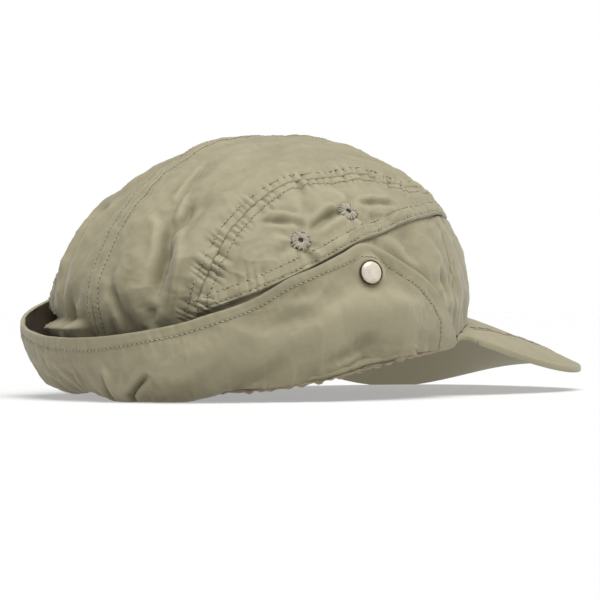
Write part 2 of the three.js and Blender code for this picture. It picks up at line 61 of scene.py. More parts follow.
BACK_TUCK = 12.0
TUCK_SHARE = 0.62
DENT_DEPTH = 3.3
FOLD_DEPTH = 3.2
FLOOR_RING = 1.356
CLOTH = 1.2
GAP = 0.36
TURN_DEPTH = 6.5
TURN_SPREAD = 6.0
FLAP_STAND = 14.2
FLAP_FOLD_DEG = 30.0
FLAP_END_DEG = 66.0
PEAK_REACH = 76.0
PEAK_HALF_WIDTH = 77.0
PEAK_THICKNESS = 3.0
PEAK_ARCH = 26.8
PEAK_ARCH_POWER = 2.3
PEAK_SLOPE = 0.335
PEAK_TWIST = 0.082
PEAK_TWIST_RUN = 100.0
PEAK_CORNER_SHARE = 0.985
PEAK_FAN_POWER = 1.15
PEAK_JOIN_DEG = 58.0
FRONT_SEAM_DEG = 63.0
REAR_SEAM_DEG = 145.6
HEM_LAP_SHARE = 0.24
BAND_SHOW = 1.1
BAND_HEIGHT = 26.0
BAND_GAP = 0.85
SNAP_RADIUS = 5.6
SNAP_HEIGHT = 2.3
EYELET_RADIUS = 4.7
EYELET_HOLE = 1.25

# Smooth curves through rows of (degrees from the front, value)
RIM = [(0, .915), (20, .89), (38, .8), (50, .72), (61, .63), (75, .585), (90, .51), (110, .36),
       (126, .265), (147, .2), (160, .175), (180, .235)]
TUCK = [(0, 0), (60, .04), (90, .12), (115, .25), (130, .5), (145, .95), (160, .85), (180, .65)]
ARC_SEAM = [(0, .535), (30, .53), (60, .525), (72, .52), (88, .47), (102, .485), (119, .515),
            (130, .588), (139, .74), (143, .9), (146, 1.05), (149, 1.36)]
HEM_SEAM = [(0, .672), (45, .668), (62, .66), (76, .685), (86, .713), (94, .75), (101, .78),
            (114, .868), (128, .958), (145.6, 1.048)]

# Flap rows: degrees, ring of the hem, stand-off, depth of the fold, spread of the fold
FLAP = np.array([
    (66, 1.14, .17, .6, .3), (68, 1.1, .17, .6, .3), (70, 1.052, .17, .62, .3),
    (76, .97, .16, .65, .3), (82, .91, .15, .65, .3), (89, .858, .15, .65, .3),
    (95, .82, .15, .7, .3), (102, .795, .16, .75, .32), (108, .833, .18, .8, .36),
    (115, .88, .23, .85, .42), (122, .92, .31, .85, .5), (130, .985, .48, .85, .65),
    (137, 1.024, .77, .87, .83), (142, 1.047, .91, 1.5, .94), (147, 1.072, 1, 1.6, 1),
    (156, 1.1, .97, 1.5, 1), (168, 1.122, .91, 1.42, 1), (180, 1.129, .88, 1.12, 1)])
FLAP_RING, FLAP_STANDS, FLAP_TURN, FLAP_SPREAD = (FLAP[:, [0, k]] for k in range(1, 5))

# Dents: degrees, ring, size, share of DENT_DEPTH
DENTS = [(180, .62, .24, 1), (0, .62, .3, .28), (180, 0, .25, .88)]

# Folds that the solids have too: from degrees, ring, to degrees, ring, width, share of FOLD_DEPTH
CROWN_FOLDS = [
    (152, .64, 159, 1.02, .045, 1.1), (163, .42, 158, .68, .04, .45),
    (171, .98, 165, 1.1, .04, .7), (166, .72, 168, .95, .06, -.5),
    (146, .6, 151, .85, .05, -.5), (84, .78, 80, .95, .05, .5), (130, .3, 60, .35, .06, .4)]
FLAP_FOLDS = [
    (161, .05, 157, .55, 2.2, 1), (173, .05, 177, .5, 2.5, .5), (150, .1, 146, .6, 3.5, .35),
    (128, .2, 112, .75, 5, .3), (112, .15, 94, .5, 5, .25), (84, .5, 78, .85, 3, .2)]

EYELETS = {"rear": (119.3, .786), "front": (104.5, .67)}
SNAP = (100.0, .85)


def lerp(a, b, t):
    """a + (b - a) t."""
    return a + (b - a) * t


def smooth(x, low, high):
    """Smooth step: 3 t^2 - 2 t^3 of x's share t between low and high."""
    t = np.clip((x - low) / (high - low), 0, 1)
    return t * t * (3 - 2 * t)


def hump(x, width):
    """Gaussian exp(-(x / width)^2)."""
    return np.exp(-(x / width) ** 2)


def unit(v):
    """Vectors divided by their length."""
    return v / np.maximum(np.linalg.norm(v, axis=-1, keepdims=True), 1e-12)


def vectors(*parts):
    """Broadcast parts stacked as the last axis."""
    return np.stack(np.broadcast_arrays(*parts), -1)


def column(rows, at):
    """Cubic Hermite curve through (place, value) rows, with slopes between neighbours."""
    x, y = np.asarray(rows, float).T
    k = np.arange(len(x))
    before, after = np.maximum(k - 1, 0), np.minimum(k + 1, len(x) - 1)
    slope = (y[after] - y[before]) / (x[after] - x[before])
    at = np.clip(at, x[0], x[-1])
    i = np.clip(np.searchsorted(x, at) - 1, 0, len(x) - 2)
    step = x[i + 1] - x[i]
    t = (at - x[i]) / step
    bend = slope[i] * t * (1 - t) ** 2 - slope[i + 1] * t * t * (1 - t)
    return y[i] + (y[i + 1] - y[i]) * t * t * (3 - 2 * t) + bend * step


def from_front(deg):
    """Angle from the front without its side, 0 to 180."""
    return np.abs((deg + 540) % 360 - 180)


def chart(deg, ring):
    """Point of the flat chart: ring (cos deg, sin deg)."""
    return vectors(ring * np.cos(np.radians(deg)), ring * np.sin(np.radians(deg)))


def polar(points):
    """Degrees and ring of chart points."""
    x, y = np.moveaxis(points, -1, 0)
    return np.degrees(np.arctan2(y, x)), np.hypot(x, y)


def ring_at_height(z):
    """Ring below the widest one at height z: 1 at WIDEST_HEIGHT and FLOOR_RING at 0."""
    return 1 + (WIDEST_HEIGHT - z) / WIDEST_HEIGHT * (FLOOR_RING - 1)


def rim_height(deg):
    """Height of the crown's bottom edge."""
    return WIDEST_HEIGHT * column(RIM, from_front(deg))


def rim_ring(deg):
    """Ring of the crown's bottom edge."""
    return ring_at_height(rim_height(deg))


def stroke(points, start, end, width):
    """Gaussian of the distance to the straight stroke from start to end, over width."""
    span = end - start
    t = np.clip((points - start) @ span / (span @ span), 0, 1)
    return hump(np.linalg.norm(points - start - t[..., None] * span, axis=-1), width)


def oval(deg, ring):
    """Plain oval: half an ellipsoid above the widest ring and an upright wall below it.

    x = LEAN rise^1.5 + a out cos, y = b out sin, z = WIDEST + top rise, where rise and out
    are the cosine and sine of ring quarter turns. Returns points and outward directions.
    """
    turn = np.minimum(ring, 1) * np.pi / 2
    rise, out = np.cos(turn), np.sin(turn)
    drop = np.maximum(ring - 1, 0) / (FLOOR_RING - 1)
    top = CROWN_HEIGHT - WIDEST_HEIGHT
    ahead, aside = out * np.cos(np.radians(deg)), out * np.sin(np.radians(deg))
    rise = np.maximum(rise, 0)
    height = np.where(ring < 1, WIDEST_HEIGHT + top * rise, WIDEST_HEIGHT * (1 - drop))
    forward = CROWN_LEAN * rise ** 1.5
    point = vectors(forward + CROWN_LENGTH / 2 * ahead, CROWN_WIDTH / 2 * aside, height)
    out = unit(vectors(ahead * 2 / CROWN_LENGTH, aside * 2 / CROWN_WIDTH,
                       np.where(ring < 1, rise / top, 0)))
    return point, out


def form_height(deg, ring, y):
    """Broad form over the oval: Gaussian dents, and the ridge along the centre seam."""
    place = chart(deg, ring)
    height = RIDGE_HEIGHT * hump(ring - RIDGE_RING, RIDGE_FADE_RINGS)
    height *= np.exp(-np.hypot(y, RIDGE_ROUNDING) / RIDGE_WIDTH)
    for at, far, size, depth in DENTS:
        away = np.linalg.norm(place - chart(at, far), axis=-1) / size
        height = height - depth * DENT_DEPTH * np.exp(-away * away / 2)
    return height


def worn_height(deg, ring):
    """Drop of the worn crown: its back drawn in towards the bottom edge, and its main folds."""
    drop = np.maximum(ring - 1, 0) / (FLOOR_RING - 1)
    height = -BACK_TUCK * column(TUCK, from_front(deg)) * smooth(drop, 0, TUCK_SHARE)
    place = chart(from_front(deg), ring)
    for from_deg, from_ring, to_deg, to_ring, width, depth in CROWN_FOLDS:
        ends = chart(from_deg, from_ring), chart(to_deg, to_ring)
        height = height - depth * FOLD_DEPTH * stroke(place, *ends, width)
    return height


def surface(deg, ring, lift, worn=True):
    """Crown surface lifted outwards: oval + outward direction (lift + form + wear)."""
    point, out = oval(deg, ring)
    height = lift + form_height(deg, ring, point[..., 1])
    if worn:
        height = height + worn_height(deg, ring)
    return point + out * height[..., None]


def run_of(line):
    """Run along a line of points up to each of them, or along several lines side by side."""
    steps = np.linalg.norm(np.diff(line, axis=0), axis=-1)
    return np.concatenate([0 * steps[:1], np.cumsum(steps, axis=0)])


def between(rows, knots, at):
    """Rows of numbers that belong to knots, read off at places between those."""
    return vectors(*(np.interp(at, knots, values) for values in np.transpose(rows)))


# Points that are compared with a line at a time, and points per knot of a drawn path
BATCH = 4000
PATH_POINTS = 8


def nearest(points, line):
    """Distance from each point to a line of points, the run along it there, and its length."""
    spans, run = np.diff(line, axis=0), run_of(line)
    length = np.linalg.norm(spans, axis=-1)
    flat = points.reshape(-1, points.shape[-1])
    away, along = np.empty((2, len(flat)))
    for first in range(0, len(flat), BATCH):
        part = flat[first:first + BATCH, None, :] - line[:-1]
        t = np.clip((part * spans).sum(-1) / length ** 2, 0, 1)
        gap = np.linalg.norm(part - t[..., None] * spans, axis=-1)
        k = gap.argmin(1)
        row = np.arange(len(k))
        away[first:first + BATCH] = gap[row, k]
        along[first:first + BATCH] = run[k] + t[row, k] * length[k]
    shape = points.shape[:-1]
    return away.reshape(shape), along.reshape(shape), run[-1]


def filled(path, count=None):
    """Both columns of a path of (degrees, place), filled in evenly from knot to knot."""
    share = np.linspace(0, len(path) - 1, count or PATH_POINTS * len(path))
    return between(path, np.arange(len(path)), share).T


def valley(points, line, width, margin, shoulder, far):
    """Gaussian valley of depth 1 along a line, with a low shoulder some widths beside it.

    It fades at both ends as sqrt(sin(pi t)), t being the share of the run, held at a margin.
    """
    away, run, length = nearest(points, line)
    fade = np.sqrt(np.sin(np.pi * np.clip(run / length, margin, 1 - margin)))
    return fade * (hump(away, width) - shoulder * hump(away - far * width, width))


def ripple(points, wave, seed, count=20, spread=0.35):
    """Even noise: a sum of count sine waves about wave long, in seeded directions."""
    rng = np.random.default_rng(seed)
    size = points.shape[-1]
    ways = unit(rng.normal(size=(count, size))) * (2 * np.pi / wave)
    ways = ways * rng.uniform(1 - spread, 1 + spread, (count, 1))
    phase = rng.uniform(0, 2 * np.pi, count)
    return np.sin(points @ ways.T + phase).sum(-1) * np.sqrt(2 / count)


def ripple_along(run, wave, seed, count=12, spread=0.45):
    """Even noise along one length."""
    return ripple(np.asarray(run)[..., None], wave, seed, count, spread)


def gathers(run, wave, seed):
    """Rounded bulges with sharp valleys between: 1.6 |sin|^0.6 less its mean, unevenly spaced."""
    phase = run / wave + 0.35 * ripple_along(run, 5 * wave, seed)
    return 1.6 * np.abs(np.sin(np.pi * phase)) ** 0.6 - 1.14


def crease(points, wave, seed):
    """Sharp creases between flats: (1 - |noise|)^3, less its mean, with the noise bent by itself."""
    bent = points + 0.25 * wave * vectors(*(ripple(points, wave * 1.7, seed + k) for k in (1, 2, 3)))
    return np.clip(1 - np.abs(ripple(bent, wave, seed)), 0, 1) ** 3 - 0.22


# The two halves are worked out on the left and mirrored; seams are lines in the chart

def dense(rows, count=400):
    """Chart points along a seam's table."""
    deg = np.linspace(rows[0][0], rows[-1][0], count)
    return chart(deg, column(rows, deg))


def at_share(line, share):
    """Points of a chart line at shares of its length."""
    run = run_of(line)
    return between(line, run, np.asarray(share, float) * run[-1])


def share_at_ring(line, ring):
    """Share of a line's length where its rear half crosses a ring."""
    half = np.linspace(0.5, 1, 500)
    return half[np.searchsorted(np.linalg.norm(at_share(line, half), axis=-1), ring)]


ARC = dense(ARC_SEAM)
HEM = dense(HEM_SEAM)
ARC_FRONT = 0.13
ARC_REAR = share_at_ring(ARC, HEM_SEAM[-1][1])
ARC_RIM = share_at_ring(ARC, rim_ring(ARC_SEAM[-2][0]))


def hem_lift(place):
    """Lift of the side panel, whose hem stands over the cloth below."""
    deg, ring = polar(place)
    deg = from_front(deg)
    arc = column(ARC_SEAM, deg)
    share = (ring - arc) / (column(HEM_SEAM, deg) - arc)
    return (CLOTH + GAP) * smooth(share, 0.12, 0.5) * smooth(deg, 44, 61)


def under_hem(deg):
    """Ring where the cloth below ends under the side panel's hem."""
    lap = HEM_LAP_SHARE * smooth(deg, FRONT_SEAM_DEG, 70) * (1 - smooth(deg, 130, REAR_SEAM_DEG))
    return lerp(column(HEM_SEAM, deg), column(ARC_SEAM, deg), lap)


def patch(v, u, start, end, left, right):
    """Coons patch: the sum of both ruled patches less the one through the corners."""
    u, v = u[None, :, None], v[:, None, None]
    rows = lerp(start(u[0, :, 0])[None], end(u[0, :, 0])[None], v)
    cols = lerp(left(v[:, 0, 0])[:, None], right(v[:, 0, 0])[:, None], u)
    ends = np.array([0.0, 1.0])
    (a, b), (c, d) = start(ends), end(ends)
    return rows + cols - lerp(lerp(a, b, u), lerp(c, d, u), v)


def straight(a, b):
    """Straight chart line from a to b as a function of a share."""
    return lambda t: lerp(a, b, np.asarray(t)[..., None])


def spaced(count, crowd=0.8, margin=0.001):
    """Shares from 0 to 1, closer together near both ends, drawn in by a margin."""
    s = np.linspace(0, 1, count)
    s = s - crowd * np.sin(2 * np.pi * s) / (2 * np.pi)
    return margin + (1 - 2 * margin) * s


def top_places(rows, cols):
    """Left top panel, from the bottom edge at the back over the top to the front."""
    rear = polar(at_share(ARC, ARC_RIM))[0]
    return patch(spaced(rows, 0.5), spaced(cols),
                 lambda u: chart(lerp(180, rear, u), rim_ring(lerp(180, rear, u))),
                 lambda u: at_share(ARC, ARC_FRONT * u),
                 straight(chart(180, rim_ring(180)), chart(0, ARC_SEAM[0][1])),
                 lambda v: at_share(ARC, lerp(ARC_RIM, ARC_FRONT, v)))


def side_places(rows, cols):
    """Left side panel, a half moon between the arc seam and its hem."""
    return patch(spaced(rows, 0.5), spaced(cols),
                 straight(at_share(ARC, ARC_REAR), at_share(HEM, 1)),
                 straight(chart(0, ARC_SEAM[0][1]), chart(0, HEM_SEAM[0][1])),
                 lambda v: at_share(ARC, lerp(ARC_REAR, 0, v)), lambda v: at_share(HEM, 1 - v))


def band_places(rows, cols):
    """Left lower band, from the front seam back to the arc seam."""
    v, w = spaced(rows)[:, None], spaced(cols, 0.5)[None, :]
    rear = polar(at_share(ARC, lerp(ARC_REAR, ARC_RIM, w)))[0]
    deg = lerp(FRONT_SEAM_DEG, rear, v)
    return chart(deg, lerp(under_hem(np.minimum(deg, REAR_SEAM_DEG)), rim_ring(deg), w))


def front_places(rows, cols):
    """Front panel between the two front seams."""
    v, w = spaced(rows)[:, None], spaced(cols, 0.5)[None, :]
    deg = lerp(-FRONT_SEAM_DEG, FRONT_SEAM_DEG, v)
    return chart(deg, lerp(under_hem(np.abs(deg)), rim_ring(deg), w))


def over_crown(line, lift=0.0):
    """Points of the worn crown over a line of chart points."""
    deg, ring = polar(line)
    return surface(deg, ring, lift)


def beside(line, away):
    """Chart line at a distance in millimetres beside another, to the left of its direction."""
    step = 1e-3
    east = (over_crown(line + [step, 0]) - over_crown(line - [step, 0])) / (2 * step)
    north = (over_crown(line + [0, step]) - over_crown(line - [0, step])) / (2 * step)
    along = np.gradient(line, axis=0)
    ahead = unit(along[:, :1] * east + along[:, 1:] * north)
    out = unit(np.cross(east, north))
    across = np.cross(out, ahead)
    a, b, d, p, q = ((one * two).sum(-1) for one, two in (
        (east, east), (east, north), (north, north), (east, across), (north, across)))
    det = a * d - b * b
    return line + away * vectors((d * p - b * q) / det, (a * q - b * p) / det)


# Seams of one half: chart line, stitch rows as distances beside it (plus is to the left of
# its direction), height of the puckers, and seed
CENTRE = straight(chart(180, rim_ring(180)), chart(0, .535))(np.linspace(0, 1, 240))
FRONT = chart(np.full(120, FRONT_SEAM_DEG), np.linspace(.66, rim_ring(FRONT_SEAM_DEG), 120))
ROW_CENTRE = 3.5
ROW_ARC = 4.1
ROW_HEM = (1.7, 6.2)
SEAMS = {
    "centre": {"line": CENTRE, "rows": (-ROW_CENTRE, ROW_CENTRE), "pucker": 0.16, "seed": 11},
    "arc": {"line": ARC, "rows": (-ROW_ARC, ROW_ARC), "pucker": 0.80, "seed": 23},
    "hem": {"line": HEM, "rows": ROW_HEM, "pucker": 0.30, "seed": 37},
    "front": {"line": FRONT, "rows": (), "pucker": 0.06, "seed": 41},
}
for seam in SEAMS.values():
    seam["solid"] = over_crown(seam["line"])[::2]
GROOVE, GROOVE_WIDTH = 0.55, 0.42
ALLOWANCE = 0.38
STITCH_DENT, DENT_WIDTH = 0.28, 0.5
PUCKER_WAVE = 4.6
PUCKER_LEAN = 0.25
FAR_PUCKER = 0.12


def seam_height(point, name, side, half):
    """Relief beside a seam, on one half of it: 1 to the left of its direction, -1 to the right.

    A groove on the seam, the seam allowance under the cloth as far as the stitch rows, a
    dent along each row, and puckers across: noise along the seam, strongest between rows.
    """
    seam = SEAMS[name]
    away, run, length = nearest(point, seam["solid"])
    rows = [abs(row) for row in seam["rows"] if row * half > 0]
    height = -GROOVE * hump(away, GROOVE_WIDTH)
    if rows:
        reach = max(rows)
        inside = smooth(run, -1, 4) * smooth(length - run, -1, 4)
        height += ALLOWANCE * (1 - smooth(away, reach - 0.2, reach + 1.3)) * inside
        for row in rows:
            height -= STITCH_DENT * hump(away - row, DENT_WIDTH)
        seed = seam["seed"] + (7 if side < 0 else 0)
        lean = run + half * PUCKER_LEAN * away
        wave = gathers(lean, PUCKER_WAVE, seed + half)
        wave += 0.25 * ripple_along(lean, 2.2 * PUCKER_WAVE, seed + 2)
        strength = np.clip(0.95 + 0.35 * ripple_along(run, 26, seed + 3), 0.5, 1.5)
        strength *= seam["pucker"] * (FAR_PUCKER if side > 0 else 1)
        height += strength * wave * hump(np.maximum(away - 0.9 * reach, 0), 0.85 * reach)
    return height


# Folds seen in the cloth: half (1 left, -1 right), path of (degrees, ring), half width
# and depth in millimetres. A negative depth is a raised fold.
FOLDS = [
    (-1, [(161.8, .62), (159.8, .685), (157.5, .82), (157.5, .97)], 2.4, 3.5),
    (-1, [(155.8, .61), (155.5, .66), (158, .76)], 2.4, 2.8),
    (-1, [(165.8, .65), (164, .665), (161.5, .70)], 2.2, 1.8),
    (-1, [(154.8, .725), (151.8, .86), (152.5, .98)], 2.5, -1.3),
    (-1, [(173.8, 1.14), (157.3, 1.11), (144.8, 1.07), (134, 1.018), (125.3, .955)], 6.0, -1.5),
    (-1, [(98.8, .76), (91.3, .825), (83.3, .905), (76.3, 1.0), (72, 1.09)], 2.8, 1.5),
    (-1, [(162.8, .40), (161.5, .52), (160.3, .64)], 0.9, 0.9),
    (-1, [(164.8, .40), (163.2, .52), (162.2, .62)], 1.8, -0.9),
    (-1, [(172.5, .93), (171.3, .98), (168.3, 1.08)], 1.8, 1.5),
    (-1, [(159.3, 1.02), (159, 1.1)], 2.4, 1.6),
    (-1, [(175.8, .79), (173.5, .93), (171.3, 1.06)], 3.5, 0.7),
    (-1, [(164.8, .79), (162, .93), (158.8, 1.06)], 4.0, -1.0),
    (-1, [(156, .8), (154, .93), (152.5, 1.06)], 3.5, 1.0),
    (-1, [(151.5, .85), (152.5, .97), (154, 1.08)], 0.8, -0.5),
    (-1, [(119.5, .722), (124, .71), (130.5, .705)], 1.5, 2.2),
    (-1, [(119.8, .69), (124, .675), (129.5, .67)], 1.3, -1.3),
    (-1, [(116.8, .745), (112.5, .70), (108.3, .668), (103, .645)], 1.8, 2.2),
    (-1, [(118.3, .54), (116.5, .62), (115.3, .70)], 3.0, 0.9),
    (-1, [(113.3, .54), (109, .57), (106, .61)], 3.0, -0.8),
    (-1, [(99.8, .63), (94, .625), (86, .632)], 1.5, 2.0),
    (-1, [(98.3, .665), (94, .668), (90, .675)], 1.3, -0.7),
    (-1, [(86.3, .452), (85.8, .48), (85.3, .515)], 1.5, 0.9),
    (-1, [(120, .512), (118.3, .565)], 1.5, 0.9),
    (-1, [(70.8, .90), (69.8, .934), (69, .97)], 2.2, 1.7),
    (-1, [(66, .748), (68, .78), (70, .811)], 0.7, -0.5),
    (-1, [(60, .805), (64.3, .938), (67, 1.024)], 0.8, -0.6),
    (-1, [(51.5, .958), (52.5, 1.04), (57, 1.097)], 0.8, -0.5),
    (1, [(170, .55), (174, .38), (178, .25)], 1.2, -0.5),
    (1, [(166, .48), (160, .68), (158, .95)], 3.0, 1.3),
    (1, [(151, .62), (153, .78), (156, .9)], 2.6, 1.1),
    (1, [(168, .97), (165, 1.1)], 2.0, 1.3),
    (1, [(120, .73), (125, .70), (131, .71)], 1.4, 1.0),
    (1, [(116.5, .74), (112, .71), (108, .67)], 1.8, 1.0),
    (1, [(99.5, .64), (94, .63), (88, .65)], 1.4, 0.9),
    (1, [(108, .33), (92, .36), (80, .42)], 3.0, 0.8),
    (1, [(71, .89), (69, .98)], 2.2, 1.5),
]


def fold_height(point, side):
    """Drawn folds: a valley along each path, on its own half."""
    height = np.zeros(point.shape[:-1])
    for half, path, width, depth in FOLDS:
        line = over_crown(chart(*filled(path)))
        height -= (side == half) * depth * valley(point, line, width, 0.02, 0.35, 2.1)
    return height


# Folds run over the crown from front to back, so their noise is drawn out that way
DRAWN = np.array([0.4, 1.0, 0.4])
# Even noise of the crown: height on top and at the sides, kind, drawn out or not, wave, seed
CROWN_NOISE = [(0.38, 0.22, ripple, True, 15, 61), (0.13, 0.13, ripple, False, 9, 62),
               (0.30, 0.15, crease, True, 17, 63), (0, 0.34, ripple, False, 19, 65),
               (0, 0.42, crease, False, 24, 66), (0.05, 0.05, ripple, False, 4, 67)]
# Gathers of the crown's lower back: height, and the share of it on the left half
BACK_GATHERS, FAR_GATHERS = 0.7, 0.15
# Mean radius by which an angle round the cap becomes a run in millimetres
CROWN_RUN, BAND_RUN, FLAP_RUN = 85, 88, 92
# Cloth round an eyelet: flat within EYELET_FLAT, then rays of this height and place
EYELET_FLAT = 5.0
RAY_HEIGHT, RAY_REACH, RAY_WIDTH = 0.60, 8.0, 4.0

# The back of the left half sags in a fold over the bottom edge
SAG_TOP = 36.5
SAG_DEPTH = 8.5


def crown(place, lift, seams, side):
    """The dressed crown over chart points of the left half, mirrored where side is -1.

    The worn surface with seams, folds, gathers and small creases. Returns the points, their
    outward directions and the height of the fine relief.
    """
    deg, ring = polar(place)
    side = np.broadcast_to(np.where(deg < 0, -side, side), deg.shape)
    deg = np.abs(deg)
    point, out = oval(deg, ring)
    rough = form_height(deg, ring, point[..., 1]) + worn_height(deg, ring)
    middle = point + out * rough[..., None]
    detail = fold_height(middle, side)
    for name, half in seams:
        detail += seam_height(middle, name, side.flat[0], half)
    mirror = vectors(1.0, side, 1.0)
    real = middle * mirror
    gathered = smooth(ring, 0.85, 1.25) * smooth(deg, 125, 150) * np.where(side > 0, FAR_GATHERS, 1)
    detail += BACK_GATHERS * gathered * ripple_along(np.radians(deg) * CROWN_RUN * side, 9, 5)
    for on_top, at_side, kind, drawn, wave, seed in CROWN_NOISE:
        height = lerp(on_top, at_side, np.abs(out[..., 1]))
        detail += height * kind(real * DRAWN if drawn else real, wave, seed)
    for eye in EYELETS.values():
        spot = over_crown(chart(*np.array(eye)))
        reach = np.linalg.norm(middle - spot, axis=-1)
        turn = np.arctan2(middle[..., 2] - spot[2], middle[..., 0] - spot[0])
        rays = np.sin(5 * turn + 40 * eye[1] + side) + 0.7 * np.sin(8 * turn + 90 * eye[1])
        detail *= 1 - hump(reach, EYELET_FLAT)
        detail += RAY_HEIGHT * rays * hump(reach - RAY_REACH, RAY_WIDTH)
    sagging = smooth(SAG_TOP - middle[..., 2], 0, 5.5) * smooth(middle[..., 2], 12, 28)
    sagging = sagging * smooth(deg, 124, 136) * (1 - smooth(deg, 168, 178)) * (side > 0)
    detail += SAG_DEPTH * sagging
    return (point + out * (rough + lift + detail)[..., None]) * mirror, out * mirror, detail


# Meshes

SHIFT = CROWN_LENGTH / 2 + PEAK_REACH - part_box("peak")[1].x * 1000


def quads(rows, cols, round_rows=False, round_cols=False):
    """Faces of a grid whose points run row by row; a round side joins its end to its start."""
    i = np.arange(rows if round_rows else rows - 1)[:, None]
    j = np.arange(cols if round_cols else cols - 1)[None, :]
    a, b = i * cols + j, i * cols + (j + 1) % cols
    step = (i + 1) % rows * cols
    return vectors(a, step + j, step + (j + 1) % cols, b).reshape(-1, 4)


# Points nearer than this, in metres, are one: the poles of turned pieces
WELD = 4e-6


def in_scene(name, data):
    """Object of a mesh, lamp or camera, put into the scene."""
    obj = bpy.data.objects.new(name, data)
    bpy.context.scene.collection.objects.link(obj)
    return obj


def piece(name, points, faces, materials, solid=None, uv=None, which=None, worn=None,
          rims=None, welded=False):
    """Mesh object from model millimetres, turned outwards, riding on the root body.

    It stands for the solid, if one is named. which gives each face its material, and worn each
    point's wear and painted light and shade.
    """
    points = points.reshape(-1, 3)
    a, b, c, d = (points[faces[:, k]] for k in range(4))
    volume = (np.cross(a, b) * c).sum() + (np.cross(a, c) * d).sum()
    if rims is not None:
        faces = [*faces.tolist(), *rims.tolist()]
    if volume < 0:
        faces = [face[::-1] for face in faces]
    mesh = bpy.data.meshes.new(name)
    mesh.from_pydata((points - [SHIFT, 0, 0]) / 1000, [], faces)
    mesh.polygons.foreach_set("use_smooth", np.ones(len(faces), bool))
    for material in materials:
        mesh.materials.append(material)
    if which is not None:
        mesh.polygons.foreach_set("material_index", which.astype(np.int32))
    if uv is not None:
        corner = np.empty(len(mesh.loops), np.int32)
        mesh.loops.foreach_get("vertex_index", corner)
        layer = mesh.uv_layers.new(name="cut")
        layer.data.foreach_set("uv", uv.reshape(-1, 2)[corner].astype(np.float32).ravel())
    if worn is not None:
        layer = mesh.attributes.new("wear_and_painted_light", "FLOAT", "POINT")
        layer.data.foreach_set("value", worn.reshape(-1).astype(np.float32))
    if welded:
        work = bmesh.new()
        work.from_mesh(mesh)
        bmesh.ops.remove_doubles(work, verts=work.verts, dist=WELD)
        work.to_mesh(mesh)
        work.free()
    mesh.update()
    obj = in_scene(name, mesh)
    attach(obj, "root")
    if solid:
        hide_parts(solid)
    return obj


# The inner face of a sheet has one point for this many of the outer one, both ways
COARSE = 4


def lowest(values):
    """Smallest value within COARSE places on the grid, both ways."""
    for axis in (0, 1):
        near = [np.roll(values, k, axis) for k in range(1 - COARSE, COARSE)]
        values = np.min(near, axis=0)
    return values


def wall(outer, inner):
    """Points, faces and rim faces of a sheet between a fine outer and a coarse inner grid."""
    inner = inner[::COARSE, ::COARSE]
    (rows, cols), (few_rows, few_cols) = outer.shape[:2], inner.shape[:2]
    points = np.concatenate([outer.reshape(-1, 3), inner.reshape(-1, 3)])
    faces = np.concatenate([quads(rows, cols), quads(few_rows, few_cols)[:, ::-1] + rows * cols])

    def around(r, c, first):
        i, j = np.arange(r), np.arange(c)
        loop = [j[:-1], i[:-1] * c + c - 1, (r - 1) * c + j[:0:-1], i[:0:-1] * c]
        return np.concatenate(loop) + first
    fine, few = around(rows, cols, 0), around(few_rows, few_cols, rows * cols)
    m = np.arange(len(few))
    rims = [fine[(m * COARSE + k) % len(fine)] for k in range(COARSE + 1)]
    return points, faces, vectors(*rims, few[(m + 1) % len(few)], few[m])


def with_inner(outer, inner):
    """Values at the points of wall(), outer then inner, for grids of the same depth."""
    return np.concatenate([v.reshape(-1, *v.shape[2:]) for v in (outer, inner[::COARSE, ::COARSE])])


def run_over(points):
    """Cloth coordinates of a grid: the run along its middle line and across it, in metres."""
    along = run_of(points[:, points.shape[1] // 2])[:, None]
    across = run_of(points.swapaxes(0, 1)).T
    return vectors(along, across - across[:, -1:] / 2) / 1000


def sheet_piece(solid, outer, inner, materials, worn, inside=None):
    """Closed sheet of cloth between two grids, standing for its solid.

    worn is the wear and painted light and shade of the outer grid, inside the material of each inner
    face, if not the first.
    """
    points, faces, rims = wall(outer, inner)
    cut, which = run_over(outer), None
    if inside is not None:
        which = np.zeros(len(faces) + len(rims), int)
        which[len(faces) - len(inside):len(faces)] = inside
    return piece(solid + "_cloth", points, faces, materials, solid, with_inner(cut, cut),
                 which, with_inner(worn, 0 * worn), rims)


# Materials

def linear(colour):
    """Linear RGBA of an sRGB hex colour."""
    c = np.array([int(colour[k:k + 2], 16) for k in (1, 3, 5)]) / 255
    c = np.where(c <= 0.04045, c / 12.92, ((c + 0.055) / 1.055) ** 2.4)
    return (*map(float, c), 1.0)


def node(tree, kind, links=None, **settings):
    """Adds a shader node; links gives its inputs a value or another node's output."""
    made = tree.nodes.new("ShaderNode" + kind)
    for name, value in settings.items():
        setattr(made, name, value)
    for name, value in (links or {}).items():
        if isinstance(value, bpy.types.NodeSocket):
            tree.links.new(value, made.inputs[name])
        else:
            made.inputs[name].default_value = value
    return made


def noise(tree, scale, detail, roughness=0.5, place=None):
    """Noise texture over object coordinates, unless another place is given."""
    if place is None:
        place = node(tree, "TexCoord").outputs["Object"]
    return node(tree, "TexNoise", {"Vector": place, "Scale": scale, "Detail": detail,
                                   "Roughness": roughness}).outputs["Fac"]


def bump(tree, main, height, strength, depth_mm):
    """Bumps a Principled shader by a height."""
    made = node(tree, "Bump", {"Height": height, "Strength": strength,
                               "Distance": depth_mm / 1000})
    tree.links.new(made.outputs["Normal"], main.inputs["Normal"])


def ramped(tree, fac, stops, target):
    """Colours a socket by a ramp between two stops of (position, linear colour)."""
    ramp = node(tree, "ValToRGB", {"Fac": fac})
    for element, (position, colour) in zip(ramp.color_ramp.elements, stops):
        element.position, element.color = position, colour
    tree.links.new(ramp.outputs["Color"], target)


def shader(name, **sockets):
    """Material with a Principled shader whose constant sockets are set on it."""
    material = bpy.data.materials.new(name)
    material.use_nodes = True
    tree = material.node_tree
    main = tree.nodes["Principled BSDF"]
    for socket, value in sockets.items():
        main.inputs[socket.replace("_", " ")].default_value = value
    return material, tree, main


